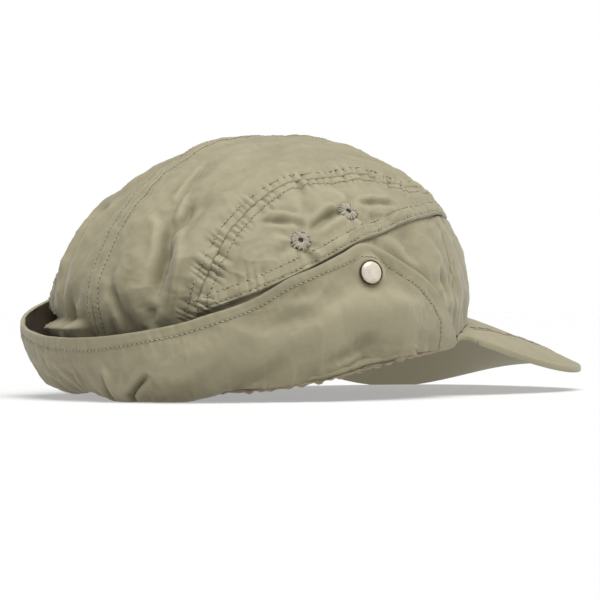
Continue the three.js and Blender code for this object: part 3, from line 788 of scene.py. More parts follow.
# Scale of a wave texture with one wave a metre, and of the slubs along and across the threads
WAVE_SCALE = 0.314159
SLUB_SCALE = (60, 1400, 1)


def woven(name, ground, pale, thread_mm, roughness, sheen, weave_depth=0.065):
    """Plain-woven cloth: over and under threads as the product of two sine waves.

    The real threads are 0.2 mm apart, which is too fine to show, so they are drawn
    thread_mm apart. Slubs and dye clouds vary the colour. A point attribute makes crests
    paler, by wear and painted highlight, and hollows and shaded places darker, by painted shade.
    """
    material, tree, main = shader(name, Roughness=roughness, Sheen_Weight=sheen, IOR=1.5,
                                  Sheen_Roughness=0.4)
    cut = node(tree, "UVMap", uv_map="cut").outputs["UV"]
    links = {"Vector": cut, "Scale": WAVE_SCALE / (thread_mm / 1000), "Distortion": 0.6,
             "Detail": 1.0, "Detail Scale": 2.0}
    waves = [node(tree, "TexWave", links, bands_direction=way).outputs["Fac"] for way in "XY"]
    over = node(tree, "Math", dict(enumerate(waves)), operation="MULTIPLY").outputs[0]
    slub = noise(tree, 1.0, 2.0, place=node(
        tree, "Mapping", {"Vector": cut, "Scale": SLUB_SCALE}).outputs[0])
    cloud = noise(tree, 28.0, 4.0, 0.6)
    crumple = noise(tree, 260.0, 3.0, 0.55)
    wear_and_painted_light = node(tree, "Attribute", attribute_name="wear_and_painted_light").outputs["Fac"]

    def added(part, share, rest, clamp=False):
        return node(tree, "Math", {0: part, 1: share, 2: rest}, operation="MULTIPLY_ADD",
                    use_clamp=clamp).outputs[0]
    tone = added(cloud, 0.34, added(slub, 0.30, added(over, 0.06, 0.06)))
    # The tone plus the point attribute of wear and painted light and shade picks between the dark
    # and pale colour
    colour = node(tree, "Mix", {"Factor": added(wear_and_painted_light, 1.0, tone, True)}, data_type="RGBA")
    for socket, shade in zip((i for i in colour.inputs if i.type == "RGBA"), (ground, pale)):
        socket.default_value = linear(shade)
    mixed = [socket for socket in colour.outputs if socket.type == "RGBA"][0]
    tree.links.new(mixed, main.inputs["Base Color"])
    bump(tree, main, added(crumple, 2.4, over), 0.55, weave_depth)
    return material


CLOTH_DARK, CLOTH_PALE = "#7f785e", "#a29b80"
# Nylon and cotton poplin, calendered smooth: matt with a slight sheen on the crests
CROWN_CLOTH = woven("nylon_cotton_poplin_olive", CLOTH_DARK, CLOTH_PALE, 0.9, 0.72, 0.22)
# The same poplin on the flap's inner face, much darker and browner
INNER_CLOTH = woven("poplin_dark_brown_back", "#2f261c", "#5a4c3a", 0.9, 0.85, 0.05)
# Cotton tape of the sweatband and its binding, brushed, so quite matt: tan, its own colour, and dark
# brown for painted shade
BAND_TAPE = woven("cotton_tape_tan_and_painted_shade", "#42352a", "#a3917c", 0.7, 0.9, 0.2, 0.1)


def speckled(name, low, high, edge, scale, detail, strength, depth_mm, **sockets):
    """Surface of two tones mixed by fine noise, which also bumps it a little."""
    material, tree, main = shader(name, **sockets)
    fuzz = noise(tree, scale, detail)
    ramped(tree, fuzz, ((edge, linear(low)), (1 - edge, linear(high))), main.inputs["Base Color"])
    bump(tree, main, fuzz, strength, depth_mm)
    return material


def spun(name, dark, pale, roughness=0.75):
    """Spun polyester thread."""
    return speckled(name, dark, pale, 0.32, 2600.0, 2.0, 0.5, 0.1,
                    Roughness=roughness, Sheen_Weight=0.2, IOR=1.5)


def mottled(name, low, high, scale, **sockets):
    """Moulded or metal surface."""
    return speckled(name, low, high, 0.35, scale, 4.0, 0.3, 0.04, **sockets)


# Spun polyester sewing thread, a little paler than the cloth
SEWING_THREAD = spun("spun_polyester_thread", "#8a836b", "#bbb499")
# Painted shade of a needle hole where the thread goes in, and of the eyelets' hole and the gaps
# between their stitches
PAINTED_SHADE = spun("needle_hole_shade", "#3a3425", "#4b4433", 0.95)
# Thicker grey-beige embroidery thread of the eyelets
EYELET_THREAD = spun("embroidery_thread_beige", "#777060", "#c0b7a4")


# Sewing

STITCH_PITCH = 2.25
STITCH_LENGTH = 1.65
THREAD_RADIUS = 0.21
# Share of the first stitch, play of its start, and lean with its play
STITCH_START, START_PLAY = 0.15, 0.12
STITCH_LEAN, LEAN_PLAY = 0.10, 0.14
# Arch of a stitch over the cloth and depth of its ends in it
STITCH_ARCH, STITCH_SUNK = 0.36, 0.06
# Needle hole, a plug of painted shade: half length along the row and across it, height over the
# cloth, depth below
HOLE_HALF = np.array([0.42, 0.30])
HOLE_TOP, HOLE_DEPTH = 0.12, 0.30
HOLE_CORNERS = HOLE_HALF * [(1, 0), (0, -1), (-1, 0), (0, 1)]
# Points on each line of stitches
ROW_POINTS = 900


def copies(faces, count, size):
    """Faces of like parts that have size points each."""
    return (np.asarray(faces) + size * np.arange(count)[:, None, None]).reshape(-1, 4)


def joined(parts):
    """Points, faces and face materials of several parts together."""
    first = np.cumsum([0] + [len(points) for points, _, _ in parts])
    return (np.concatenate([points for points, _, _ in parts]),
            np.concatenate([faces + at for (_, faces, _), at in zip(parts, first)]),
            np.concatenate([np.broadcast_to(which, len(faces)) for _, faces, which in parts]))


def tubes(centre, across, up, radius):
    """Closed six-sided tubes round lines of centres, given their two side directions and radii."""
    count, steps = centre.shape[:2]
    turn = np.arange(6)[:, None] * np.pi / 3
    ring = across[:, :, None] * np.cos(turn) + up[:, :, None] * np.sin(turn)
    radius = np.broadcast_to(radius, (count, steps))[..., None, None]
    points = (centre[:, :, None] + radius * ring).reshape(-1, 3)
    end = 6 * (steps - 1) + np.arange(6)
    caps = [[0, 1, 2, 3], [0, 3, 4, 5], end[[3, 2, 1, 0]], end[[5, 4, 3, 0]]]
    faces = np.concatenate([quads(steps, 6, round_cols=True), caps])
    return points, copies(faces, count, 6 * steps)


def stitches(path, out, seed):
    """Row of stitches along a path, and their needle holes, as points, faces and materials.

    Each stitch is a tube along the path over a share f from 0 to 1, raised by
    sin(pi f)^0.7, thinner at its ends, and leans a little by a seeded angle. Each hole is
    a small plug of painted shade, flush with the cloth.
    """
    run = run_of(path)
    count = int(run[-1] / STITCH_PITCH)
    rng = np.random.default_rng(seed)
    start = (np.arange(count) + STITCH_START) * STITCH_PITCH
    start = start + rng.uniform(-START_PLAY, START_PLAY, count)
    f = np.linspace(0, 1, 5)
    at = start[:, None] + f * STITCH_LENGTH
    middle, up = between(path, run, at), unit(between(out, run, at))
    ahead = unit(np.gradient(middle, axis=1))
    across = unit(np.cross(ahead, up))
    lean = rng.uniform(-LEAN_PLAY, LEAN_PLAY, count)[:, None] + STITCH_LEAN
    arch = np.sin(np.pi * f) ** 0.7
    centre = middle + across * ((f - 0.5) * STITCH_LENGTH * lean)[..., None]
    centre = centre + up * (STITCH_ARCH * arch - STITCH_SUNK)[:, None]
    thread = tubes(centre, across, up, THREAD_RADIUS * (0.55 + 0.45 * arch))
    at = start - (STITCH_PITCH - STITCH_LENGTH) / 2
    hole, up = between(path, run, at)[:, None], unit(between(out, run, at))[:, None]
    rim = hole + HOLE_CORNERS[:, :1] * ahead[:, :1] + HOLE_CORNERS[:, 1:] * across[:, :1]
    plug = np.stack([rim + HOLE_TOP * up, rim - HOLE_DEPTH * up], axis=1).reshape(-1, 3)
    sides = np.concatenate([quads(2, 4, round_cols=True), [[0, 1, 2, 3], [7, 6, 5, 4]]])
    return joined([(*thread, 0), (plug, copies(sides, count, 8), 1)])


def sewn(name, rows):
    """One piece of all stitch rows given as (path, outward directions)."""
    points, faces, which = joined([stitches(*row, 100 + k) for k, row in enumerate(rows)])
    return piece(name, points, faces, [SEWING_THREAD, PAINTED_SHADE], which=which)


# Crown

# Thickness of the cloth shown, and grid places on each side over which the relief is levelled for
# its wear and painted shade
CLOTH_SHOWN = 1.0
CAVITY = 4
# Tone of a millimetre over the cloth and over its levelled form, and its limits: crests paler by
# wear and painted highlight, hollows darker by painted shade
TONE_PER_HEIGHT, TONE_PER_CREST = 0.10, 0.32
TONE_LIMITS = -0.40, 0.24
# Stitch rows of one half: seam, half of it, the panel that carries them, from and to share
STITCHED = [("centre", 1, "crown_top", 0, 1), ("arc", 1, "crown_top", 0, ARC_RIM),
            ("arc", -1, "side_panel", 0, ARC_REAR),
            ("arc", -1, "lower_band", ARC_REAR, ARC_RIM), ("hem", 1, "side_panel", 0, 1)]


def flush(place):
    """Lift of a panel that nothing raises."""
    return 0.0


PANELS = {
    "crown_top": (top_places(481, 121), flush, [("centre", 1), ("arc", 1)]),
    "side_panel": (side_places(401, 85), hem_lift, [("arc", -1), ("hem", 1)]),
    "lower_band": (band_places(241, 65), flush, [("arc", -1), ("front", 1)]),
}


def wear_and_painted_light_of(detail):
    """Wear and painted light of relief: crests paler by wear and painted highlight, hollows darker
    by painted shade, and more so against the cloth near them.
    """
    near = detail
    for axis in (0, 1):
        near = sum(np.roll(near, k, axis) for k in range(-CAVITY, CAVITY + 1)) / (2 * CAVITY + 1)
    return np.clip(TONE_PER_HEIGHT * detail + TONE_PER_CREST * (detail - near), *TONE_LIMITS)


def crown_piece(name, places, lift, seams, side):
    """A crown panel as a closed sheet of cloth, standing for its solid."""
    outer, out, detail = crown(places, lift(places), seams, side)
    inner = outer - out * (detail - lowest(detail) + CLOTH_SHOWN)[..., None]
    sheet_piece(name, outer, inner, [CROWN_CLOTH], wear_and_painted_light_of(detail))


for label, side in (("left", 1), ("right", -1)):
    for name, panel in PANELS.items():
        crown_piece(f"{name}_{label}", *panel, side)
    rows = []
    for seam, half, panel, low, high in STITCHED:
        _, raised, around = PANELS[panel]
        for row in SEAMS[seam]["rows"]:
            if row * half > 0:
                line = beside(SEAMS[seam]["line"], row)
                fine = at_share(line, np.linspace(low, high, ROW_POINTS))
                rows.append(crown(fine, raised(fine), around, side)[:2])
    sewn(f"stitching_crown_{label}", rows)

crown_piece("front_panel", front_places(241, 73), flush, [("hem", -1), ("front", -1)], 1)


# Neck flap

def flap_column(rows, deg):
    """A column of the flap's table at an angle."""
    return column(rows, from_front(deg))


# Rise of the flap's fold off the floor: degrees round from the front by the left, millimetres
FOLD_RISE = [(0, 0), (134, 0), (142, 4.4), (150, 5.2), (156, 4.8), (162, 3.8), (170, 3.0),
             (178, 1.4), (186, 0), (205, 0), (212, 1.5), (217, 3.0), (221, 1.6), (226, 0), (360, 0)]
# Small lifts of the fold alone, which open it over the sweatband
OPENINGS = [(223, 0), (227, .8), (231, 0), (254, 0), (259, .9), (264, .2), (272, 0), (278, 1.0),
            (285, .4), (289, 0)]
# How far below the floor the fold's middle may lie, before the sheet's own thickness
FOLD_LOWEST = -1.2


def fold_bottom(deg):
    """Height of the fold under the flap."""
    plain = rim_height(deg) - TURN_DEPTH * flap_column(FLAP_TURN, deg)
    return np.maximum(plain, FOLD_LOWEST) + column(FOLD_RISE, deg)


def opening(deg):
    """Lift of the fold at its openings, none past the ends of their table."""
    return np.where((deg > OPENINGS[0][0]) & (deg < OPENINGS[-1][0]), column(OPENINGS, deg), 0)


def flap_base(deg, along, layer):
    """Plain flap: along is -1 at the crown's bottom edge, 0 at the fold and 1 at the hem.

    Both sides of the fold are quarter ellipses in ring and stand-off. Returns points and
    outward directions.
    """
    tuck = BACK_TUCK * flap_column(TUCK, deg)
    root = -tuck - CLOTH * (1 - layer)
    fold = -tuck - CLOTH / 2 + TURN_SPREAD * flap_column(FLAP_SPREAD, deg)
    hem = FLAP_STAND * flap_column(FLAP_STANDS, deg) + CLOTH * (0.5 - layer)
    bottom = ring_at_height(fold_bottom(deg) + opening(deg) + CLOTH * layer)
    turn = np.abs(along) * np.pi / 2
    top = np.where(along < 0, ring_at_height(rim_height(deg) - GAP), flap_column(FLAP_RING, deg))
    stand = lerp(fold, np.where(along < 0, root, hem), np.sin(turn))
    at = vectors(from_front(deg), along * FLAP_FOLD_DEG)
    for from_deg, from_along, to_deg, to_along, width, depth in FLAP_FOLDS:
        ends = np.array([(from_deg, from_along), (to_deg, to_along)]) * [1, FLAP_FOLD_DEG]
        stand = stand - np.where(along < 0, 0, depth * FOLD_DEPTH * stroke(at, *ends, width))
    ring = lerp(top, bottom, np.cos(turn))
    return surface(deg, ring, stand, worn=False), oval(deg, ring)[1]


FLAP_ENDS = FLAP_END_DEG, 360 - FLAP_END_DEG
HEM_LINE = flap_base(np.linspace(*FLAP_ENDS, 160), 1.0, 0)[0]
# Stitch row of the flap's hem: degrees from the front, along. It ends down at the fold.
HEM_ROW = [(72.8, .02), (73.2, .25), (73.8, .45), (74.8, .68), (77.8, .813), (84.2, .89),
           (91, .92), (96.5, .93), (104, .93), (109, .937), (114, .945), (122, .937),
           (130, .927), (136, .917), (142, .91), (155, .905), (164.5, .89), (172.5, .862),
           (180, .855)]
ROW = filled(HEM_ROW, 100).T
ROW = np.concatenate([ROW, ROW[-2::-1] * [-1, 1] + [360, 0]])
ROW_LINE = flap_base(*ROW.T, 0)[0]
# How much nearer to the crown the hem is drawn than the solid's: degrees from the front, mm
HEM_CLOSER = [(66, 0), (100, 0), (106, -.7), (111, 0), (117, 1.4), (123, 2.1), (130, 1.9),
              (138, 0), (180, 0)]
# Even noise of the flap: height, kind, wave, seed
FLAP_NOISE = [(0.50, ripple, 30, 75), (0.15, ripple, 11, 76), (0.40, crease, 30, 77),
              (0.15, crease, 12, 78)]
# Step at its stitch row, dent of the row, height and wave of the row's puckers
HEM_STEP, HEM_DENT, HEM_PUCKER, HEM_WAVE = 0.34, 0.32, 0.20, 5.4
# Paler tone along the flap's edge
HEM_EDGE_PALER = 0.4
# Waves of the cloth at the fold: slow ones, and small gathers
FOLD_WAVE, GATHER_WAVE = 9.0, 4.2
# Share of the cloth's thickness at which the inner face lies, and share kept off the floor
INNER_LAYER = 0.85
INNER_CLEAR = 0.8
# Cloth round a snap: flat as far as the first reach, free from the second
SNAP_FLAT = 6.0, 10.5

# Folds of the flap as the photograph shows them, on its right half (-1) or left (1): path
# of (degrees, along), half width and depth in millimetres. A negative depth is a raised fold.
FLAP_CREASES = [
    (-1, [(112, .64), (131, .64), (148, .66), (166, .68)], 9.0, -1.8),
    (-1, [(112, .28), (131, .28), (152, .28)], 8.0, 1.2),
    (-1, [(170.5, .2), (169.8, .4), (169.5, .56), (170, .68)], 1.6, 1.8),
    (-1, [(163.5, .12), (162.8, .36), (160, .5), (157.3, .61)], 1.4, 4.0),
    (-1, [(164.5, .22), (165.5, .4), (163.5, .6)], 1.6, -0.9),
    (-1, [(154.3, .56), (152, .64), (149.5, .7)], 1.5, -0.6),
    (-1, [(187.5, .69), (184, .49), (181.8, .14)], 1.2, -1.0),
    (-1, [(190, .66), (187.5, .45), (185, .14)], 2.2, 0.9),
    (-1, [(193.5, .735), (192.3, .6), (190, .4)], 1.2, -0.7),
    (-1, [(170, .7), (167.8, .62), (167.3, .3), (168, .1)], 2.0, -0.9),
    (-1, [(173, .7), (171.8, .575), (171, .35)], 2.6, 1.0),
    (-1, [(183, .98), (184, .86), (183.5, .72)], 0.9, -0.5),
    (-1, [(189, .97), (190, .82), (189.5, .7)], 0.9, -0.5),
    (-1, [(176, .97), (175.5, .84), (176.5, .7)], 0.9, -0.4),
    (-1, [(128, .835), (121, .83), (114, .81)], 3.0, -0.7),
    (-1, [(93.3, .72), (87, .74), (80.5, .755)], 3.0, -0.7),
    (-1, [(111.8, .285), (107, .3), (102.8, .295)], 2.2, -1.0),
    (-1, [(109, .17), (104, .2), (99, .22)], 1.8, 0.9),
    (-1, [(131.5, .215), (128.3, .245)], 2.0, -0.8),
    (-1, [(136, .14), (133.5, .2)], 1.8, 0.8),
    (-1, [(150, .3), (144, .5), (136, .62)], 4.5, 1.0),
    (-1, [(140, .15), (128, .4), (118, .6)], 4.5, 0.9),
    (-1, [(120, .1), (108, .35), (96, .5)], 4.5, 0.9),
    (-1, [(82, .56), (94, .6), (109, .64)], 11.0, -4.4),
    (1, [(82, .56), (94, .6), (109, .64)], 11.0, -3.8),
    (-1, [(82, .3), (96, .28), (110, .3)], 9.0, 1.4),
    (1, [(82, .3), (96, .28), (110, .3)], 9.0, 1.4),
    (-1, [(100, .84), (90, .70), (80, .6)], 4.0, -0.7),
    (-1, [(102, .8), (112, .66), (122, .6)], 4.0, -0.7),
    (1, [(162, .1), (160, .4), (157, .62)], 1.6, 1.8),
    (1, [(150, .25), (142, .5), (134, .62)], 4.5, 0.9),
    (1, [(128, .1), (112, .38), (98, .5)], 4.5, 0.9),
    (1, [(170, .7), (167, .5), (166, .2)], 2.0, -0.8),
    (1, [(108, .18), (102, .22), (96, .2)], 1.8, 0.8),
]


def facing(point_of, a, b, step_a, step_b):
    """Outward direction of a surface given as a function of two places."""
    along_a = point_of(a + step_a, b) - point_of(a - step_a, b)
    along_b = point_of(a, b + step_b) - point_of(a, b - step_b)
    way = unit(np.cross(along_a, along_b))
    point = point_of(a, b) * [1, 1, 0]
    return way if way @ point > 0 else -way


# The snap pulls the cloth about it flat, and turns it a little to the back
SNAP_TURN = 0.32


def snap_seat(side):
    """Place of a snap on the flap and the direction that it faces."""
    def place(deg, along):
        return flap_base(np.array(side * deg), np.array(float(along)), 0)[0]
    way = facing(place, *SNAP, 2, 0.05)
    return place(*SNAP), unit(way + SNAP_TURN * unit(np.array([-1, side, 0])))


def flap(deg, along, layer):
    """The dressed flap: the plain one with its hem, creases and the gathers at its fold."""
    point, out = flap_base(deg, along, layer)
    front, side = from_front(deg), np.where(deg > 180, -1, 1)
    by_row, run, _ = nearest(point, ROW_LINE)
    up = np.where(along < 0, 0, along)
    above = np.where(along > np.interp(front, *np.transpose(HEM_ROW), left=0), 1, -1)
    hem = HEM_STEP * smooth(by_row * above, -0.6, 0.4) - HEM_DENT * hump(by_row, DENT_WIDTH)
    detail = (1 - 2 * layer) * hem * (along > 0)
    pucker = gathers(run + 0.4 * by_row, HEM_WAVE, 71)
    pucker *= 0.5 + 0.5 * ripple_along(run, 50, 72)
    detail += HEM_PUCKER * pucker * hump(by_row, 4.5) * (along > 0.1)
    detail -= column(HEM_CLOSER, front) * smooth(up, 0.3, 0.95)
    turn = np.radians(front) * FLAP_RUN * side
    back = smooth(front, 128, 150)
    low = np.exp(-np.abs(along) * FLAP_FOLD_DEG / lerp(4.5, 9.0, back))
    detail += low * lerp(0.7, 1.2, back) * ripple_along(turn + 6 * up, FOLD_WAVE, 73)
    far = 0.15 + 0.3 * smooth(ripple_along(turn, 34, 84), -0.3, 0.5)
    far = np.where(side > 0, far, lerp(0.28, 0.45, back))
    detail += low * far * gathers(turn, GATHER_WAVE, 74)
    for half, path, width, depth in FLAP_CREASES:
        round_by, climb = filled(path)
        line = flap_base(round_by if half > 0 else 360 - round_by, climb, 0)[0]
        detail -= depth * valley(point, line, width, 0.03, 0.3, 2) * (along > -0.05)
    slack = smooth(nearest(point, HEM_LINE)[0], 0, 8)
    for height, kind, wave, seed in FLAP_NOISE:
        detail += slack * height * kind(point, wave, seed)
    detail += 0.05 * ripple(point, 4, 79)
    for here in (-1, 1):
        seat, way = snap_seat(here)
        reach = np.linalg.norm(point - seat, axis=-1)
        flat = -((point - seat) @ way) / np.maximum(out @ way, 0.5) - CLOTH * layer
        detail = lerp(detail, flat, 1 - smooth(reach, *SNAP_FLAT))
    point = point + out * detail[..., None]
    point[..., 2] = np.maximum(point[..., 2], CLOTH_SHOWN * INNER_CLEAR * layer)
    return point, out, detail


def flap_piece():
    """Neck flap as a closed sheet whose inner face is much darker and browner."""
    under = -np.linspace(1, 0, 13)[:-1] ** 1.2
    over = 1 - (1 - spaced(57, 0.45, 0)) ** 1.25
    deg, along = np.broadcast_arrays(np.linspace(*FLAP_ENDS, 841)[:, None],
                                     np.concatenate([under, over]))
    outer, _, detail = flap(deg, along, np.zeros(deg.shape))
    inner, way, relief = flap(deg, along, np.full(deg.shape, INNER_LAYER))
    shrunk = np.where(along < 0, relief + lowest(-relief), relief - lowest(relief))
    rows, cols = ((size - 1) // COARSE for size in deg.shape)
    inside = np.tile(np.arange(cols) >= len(under) // COARSE, rows)
    obj = sheet_piece("neck_flap", outer, inner - way * shrunk[..., None],
                      [CROWN_CLOTH, INNER_CLOTH],
                      wear_and_painted_light_of(detail) + HEM_EDGE_PALER * smooth(along, 0.97, 1), inside)
    fine = between(ROW, np.linspace(0, 1, len(ROW)), np.linspace(0, 1, ROW_POINTS))
    row = sewn("stitching_flap", [flap(*fine.T, np.zeros(ROW_POINTS))[:2]])
    cut = run_over(outer)


flap_piece()


# Peak

PEAK_TIP = CROWN_LENGTH / 2 + PEAK_REACH
JOIN_X = CROWN_LENGTH / 2 * np.cos(np.radians(PEAK_JOIN_DEG))


def peak_height(x, y):
    """Top face: slope to the front, arch across and a slight twist."""
    ridge = rim_height(0) - PEAK_SLOPE * (x - CROWN_LENGTH / 2)
    arch = PEAK_ARCH * (np.abs(y) / PEAK_HALF_WIDTH) ** PEAK_ARCH_POWER
    return ridge - arch - PEAK_TWIST * y * np.clip((x - JOIN_X) / PEAK_TWIST_RUN, 0, 1)


def peak_point(across, out):
    """Peak in plan from its join (out 0) to its rounded edge (out 1), and its height."""
    deg = PEAK_JOIN_DEG * across
    join = surface(deg, rim_ring(deg), -CLOTH)
    spread = np.sign(across) * np.minimum(np.abs(across) ** PEAK_FAN_POWER, PEAK_CORNER_SHARE)
    turn = spread * np.pi / 2
    x = JOIN_X + (PEAK_TIP - JOIN_X) * np.cos(turn) ** (2 / 3)
    y = PEAK_HALF_WIDTH * np.sign(turn) * np.abs(np.sin(turn)) ** (2 / 3)
    x, y = lerp(join[..., 0], x, out), lerp(join[..., 1], y, out)
    offset = join[..., 2] - GAP - peak_height(join[..., 0], join[..., 1])
    return vectors(x, y, peak_height(x, y) + offset * (1 - out) ** 3)


# Lines in plan where the peak's insert is parted, so that it folds in three, the shares of
# the row at their points, and the gap between both rows of stitches
PEAK_ROWS = np.array([(73.0, 64.0), (140.0, 44.0), (172.0, 34.0)])
PEAK_ROW_SHARES = (0, .65, 1)
PEAK_ROW_GAP = 1.7
# Stitches stand on the nearest point of the top, if there is one this near
PEAK_ROW_REACH = 1.6
PEAK_ROW_LIFT = 0.12
# The underside is painted paler, as painted light from below
UNDERSIDE_PAINTED_LIGHT = 0.75
# Points across and outwards, crowding of the first, and depth of the rounded edge
PEAK_GRID = 190, 56
PEAK_CROWD = 1.45
PEAK_EDGE = PEAK_THICKNESS / 2 * 0.85
# Roundness of the edge: power of a squared-off circle
EDGE_POWER = 2.6


def peak_relief(x, y):
    """Top face relief: a dent along each stitch row, and slow waves of the cloth."""
    away = nearest(vectors(x, np.abs(y)), PEAK_ROWS)[0]
    place = vectors(x, y, 0)
    return (-0.30 * hump(away, 0.55) + 0.10 * hump(away - 2.2, 1.4)
            + 0.12 * ripple(place, 22, 81) + 0.04 * ripple(place, 7, 82))


def peak_piece():
    """Peak as one padded plate: top, rounded edge with a seam bead below it, and underside."""
    count, steps = PEAK_GRID
    across = np.sin(np.linspace(-1, 1, count) * PEAK_CROWD) / np.sin(PEAK_CROWD)
    join, edge = peak_point(across, np.zeros(count)), peak_point(across, np.ones(count))
    stop = 1 - PEAK_EDGE / np.linalg.norm(edge - join, axis=-1)
    share = 1 - (1 - np.linspace(0, 1, steps)) ** 1.3
    out = share * stop[:, None]
    top = peak_point(across[:, None], out)
    relief = peak_relief(top[..., 0], top[..., 1]) * smooth(out, 0.02, 0.1)
    relief = relief * (1 - smooth(out / stop[:, None], 0.93, 1))
    under = top.copy()
    under[..., 2] = np.maximum(top[..., 2] - PEAK_THICKNESS, 0) + 0.25 * relief
    top[..., 2] = np.maximum(top[..., 2], PEAK_THICKNESS) + relief
    turn = np.linspace(np.pi / 2, -np.pi / 2, 18)[1:-1]
    inner = peak_point(across, stop)
    way = unit((edge - inner) * [1, 1, 0])[:, None]
    bead = 1 + 0.16 * hump(turn + 0.95, 0.22) - 0.10 * hump(turn + 0.5, 0.16)
    square = np.abs(np.cos(turn)) ** EDGE_POWER + np.abs(np.sin(turn)) ** EDGE_POWER
    square = square ** (-1 / EDGE_POWER) * bead
    rim = inner[:, None] + way * (np.cos(turn) * square * PEAK_EDGE)[:, None]
    middle, half = ((top[:, -1:, 2] + sign * under[:, -1:, 2]) / 2 for sign in (1, -1))
    drop = (edge - inner)[:, 2:] * np.cos(turn)
    rim[..., 2] = np.maximum(middle + half * np.sin(turn) * square + drop, 0)
    points = np.concatenate([top, rim, under[:, ::-1]], axis=1)
    cols = points.shape[1]
    j = np.arange(cols // 2 - 1)
    first = vectors(j, j + 1, cols - 2 - j, cols - 1 - j)
    last = first[:, ::-1] + (count - 1) * cols
    # Top: crests a little paler by wear and painted highlight, painted shade in the stitch dents;
    # underside: painted light
    worn = np.zeros((count, cols))
    worn[:, :steps], worn[:, -steps:] = np.clip(0.3 * relief, -0.1, 0.08), UNDERSIDE_PAINTED_LIGHT
    piece("peak_cloth", points, np.concatenate([quads(count, cols, round_cols=True), first, last]),
          [CROWN_CLOTH], "peak", points[..., :2] / 1000, worn=worn)
    rows, grid = [], top.reshape(-1, 3)
    for side in (-1, 1):
        for gap in (-PEAK_ROW_GAP / 2, PEAK_ROW_GAP / 2):
            line = between(PEAK_ROWS, PEAK_ROW_SHARES, np.linspace(0, 1, 300))
            way = unit(np.gradient(line, axis=0))
            line = (line + gap * vectors(-way[:, 1], way[:, 0])) * [1, side]
            away = np.linalg.norm(line[:, None] - grid[:, :2], axis=-1)
            kept = away.min(1) < PEAK_ROW_REACH
            line, near = line[kept], away.argmin(1)[kept]
            step = np.arange(len(line))
            height = np.interp(step, step[::6], grid[near, 2][::6]) + PEAK_ROW_LIFT
            slope = unit(vectors(PEAK_SLOPE, side * 0.35, np.ones(len(line))))
            rows.append((vectors(*line.T, height), slope))
    sewn("stitching_peak", rows)


peak_piece()


# Sweatband

# Lowest height of its edge over the floor, and height of the tape bound round it
BAND_LOWEST = 0.9
BOUND_HEIGHT = 1.6


def band_bottom(deg):
    """Lower edge of the sweatband, which shows under the flap and under the peak."""
    at = from_front(deg)
    front = rim_height(deg) - PEAK_THICKNESS - BAND_SHOW
    side = fold_bottom(deg) - BAND_SHOW
    back = np.maximum(fold_bottom(deg), 0) + CLOTH + BAND_SHOW
    rear = lerp(side, back, smooth(at, 136, 146))
    return lerp(front, rear, smooth(at, PEAK_JOIN_DEG - 4, PEAK_JOIN_DEG + 8))


def band_piece():
    """Sweatband: a wall with a bound lower edge, gathered a little by its elastic."""
    deg = np.linspace(0, 360, 481)[:-1, None]
    run = np.radians(deg) * BAND_RUN
    slack = smooth(from_front(deg), 66, 90)
    share = np.linspace(0, 1, 14) ** 1.3
    height = share * BAND_HEIGHT
    bottom = band_bottom(deg) + slack * 0.35 * ripple_along(run, 6, 91) * (1 - share)
    ring = ring_at_height(np.maximum(bottom, BAND_LOWEST) + height)
    lift = -CLOTH - BAND_GAP + 0.15 * ripple_along(run, 5, 92) * slack
    bound = hump(height, BOUND_HEIGHT)
    points = np.concatenate([surface(deg, ring, lift + 0.45 * bound),
                             surface(deg, ring, lift - 1.0 - 0.225 * bound)[:, ::-1]], axis=1)
    faces = quads(*points.shape[:2], round_rows=True, round_cols=True)
    outer, inner = (vectors(run, first + height) / 1000 for first in (0, BAND_HEIGHT + 4))
    # Pale tan at the bound edge, the tape's own colour, and painted shade above it, where the band
    # lies in the gap
    edge = lerp(0.7, -0.3, smooth(height, 0.7, 1.5)) + 0 * run
    piece("sweatband_tape", points, faces, [BAND_TAPE], "sweatband",
          np.concatenate([outer, inner[:, ::-1]], axis=1),
          worn=np.concatenate([edge, edge[:, ::-1]], axis=1))


band_piece()


# Snaps and eyelets

# How far both stand off the cloth
SEAT_LIFT = 0.1
# Snap: radius and height of the ring's roll, inset of the dome in it, and the dome's foot
ROLL_RADIUS, ROLL_HEIGHT = 0.42, 0.55
DOME_INSET, DOME_FOOT = 0.62, 0.45
# Eyelet: radius and height of its cord's middle, half width and half height of the cord
CORD_MIDDLE, CORD_HALF = (3.0, 0.15), (1.6, 0.55)
EYELET_STITCHES = 36

# Pearl cap of a ring snap: glossy moulded cap, cream, with a soft coat
PEARL = mottled("moulded_pearl_cap", "#c2b7a6", "#cfc5b6", 420, Roughness=0.3, Coat_Weight=0.5,
                Coat_Roughness=0.12, IOR=1.5)
# Antique brass of the prong ring round it
BRASS = mottled("antique_brass_ring", "#3f2f20", "#6d543b", 900, Metallic=0.85, Roughness=0.42)


def lathe(profile, sides, closed=False):
    """Points and faces of a profile of (radius, height) turned round the z axis."""
    r, h = np.transpose(profile)
    turn = np.arange(sides)[:, None] * 2 * np.pi / sides
    points = vectors(r * np.cos(turn), r * np.sin(turn), h).reshape(-1, 3)
    return points, quads(sides, len(r), round_rows=True, round_cols=closed)


def stood(points, seat, way):
    """Points turned from +z to a direction and moved to a seat."""
    side = unit(np.cross([0, 0, 1.0], way))
    return seat + points @ np.stack([side, np.cross(way, side), way])


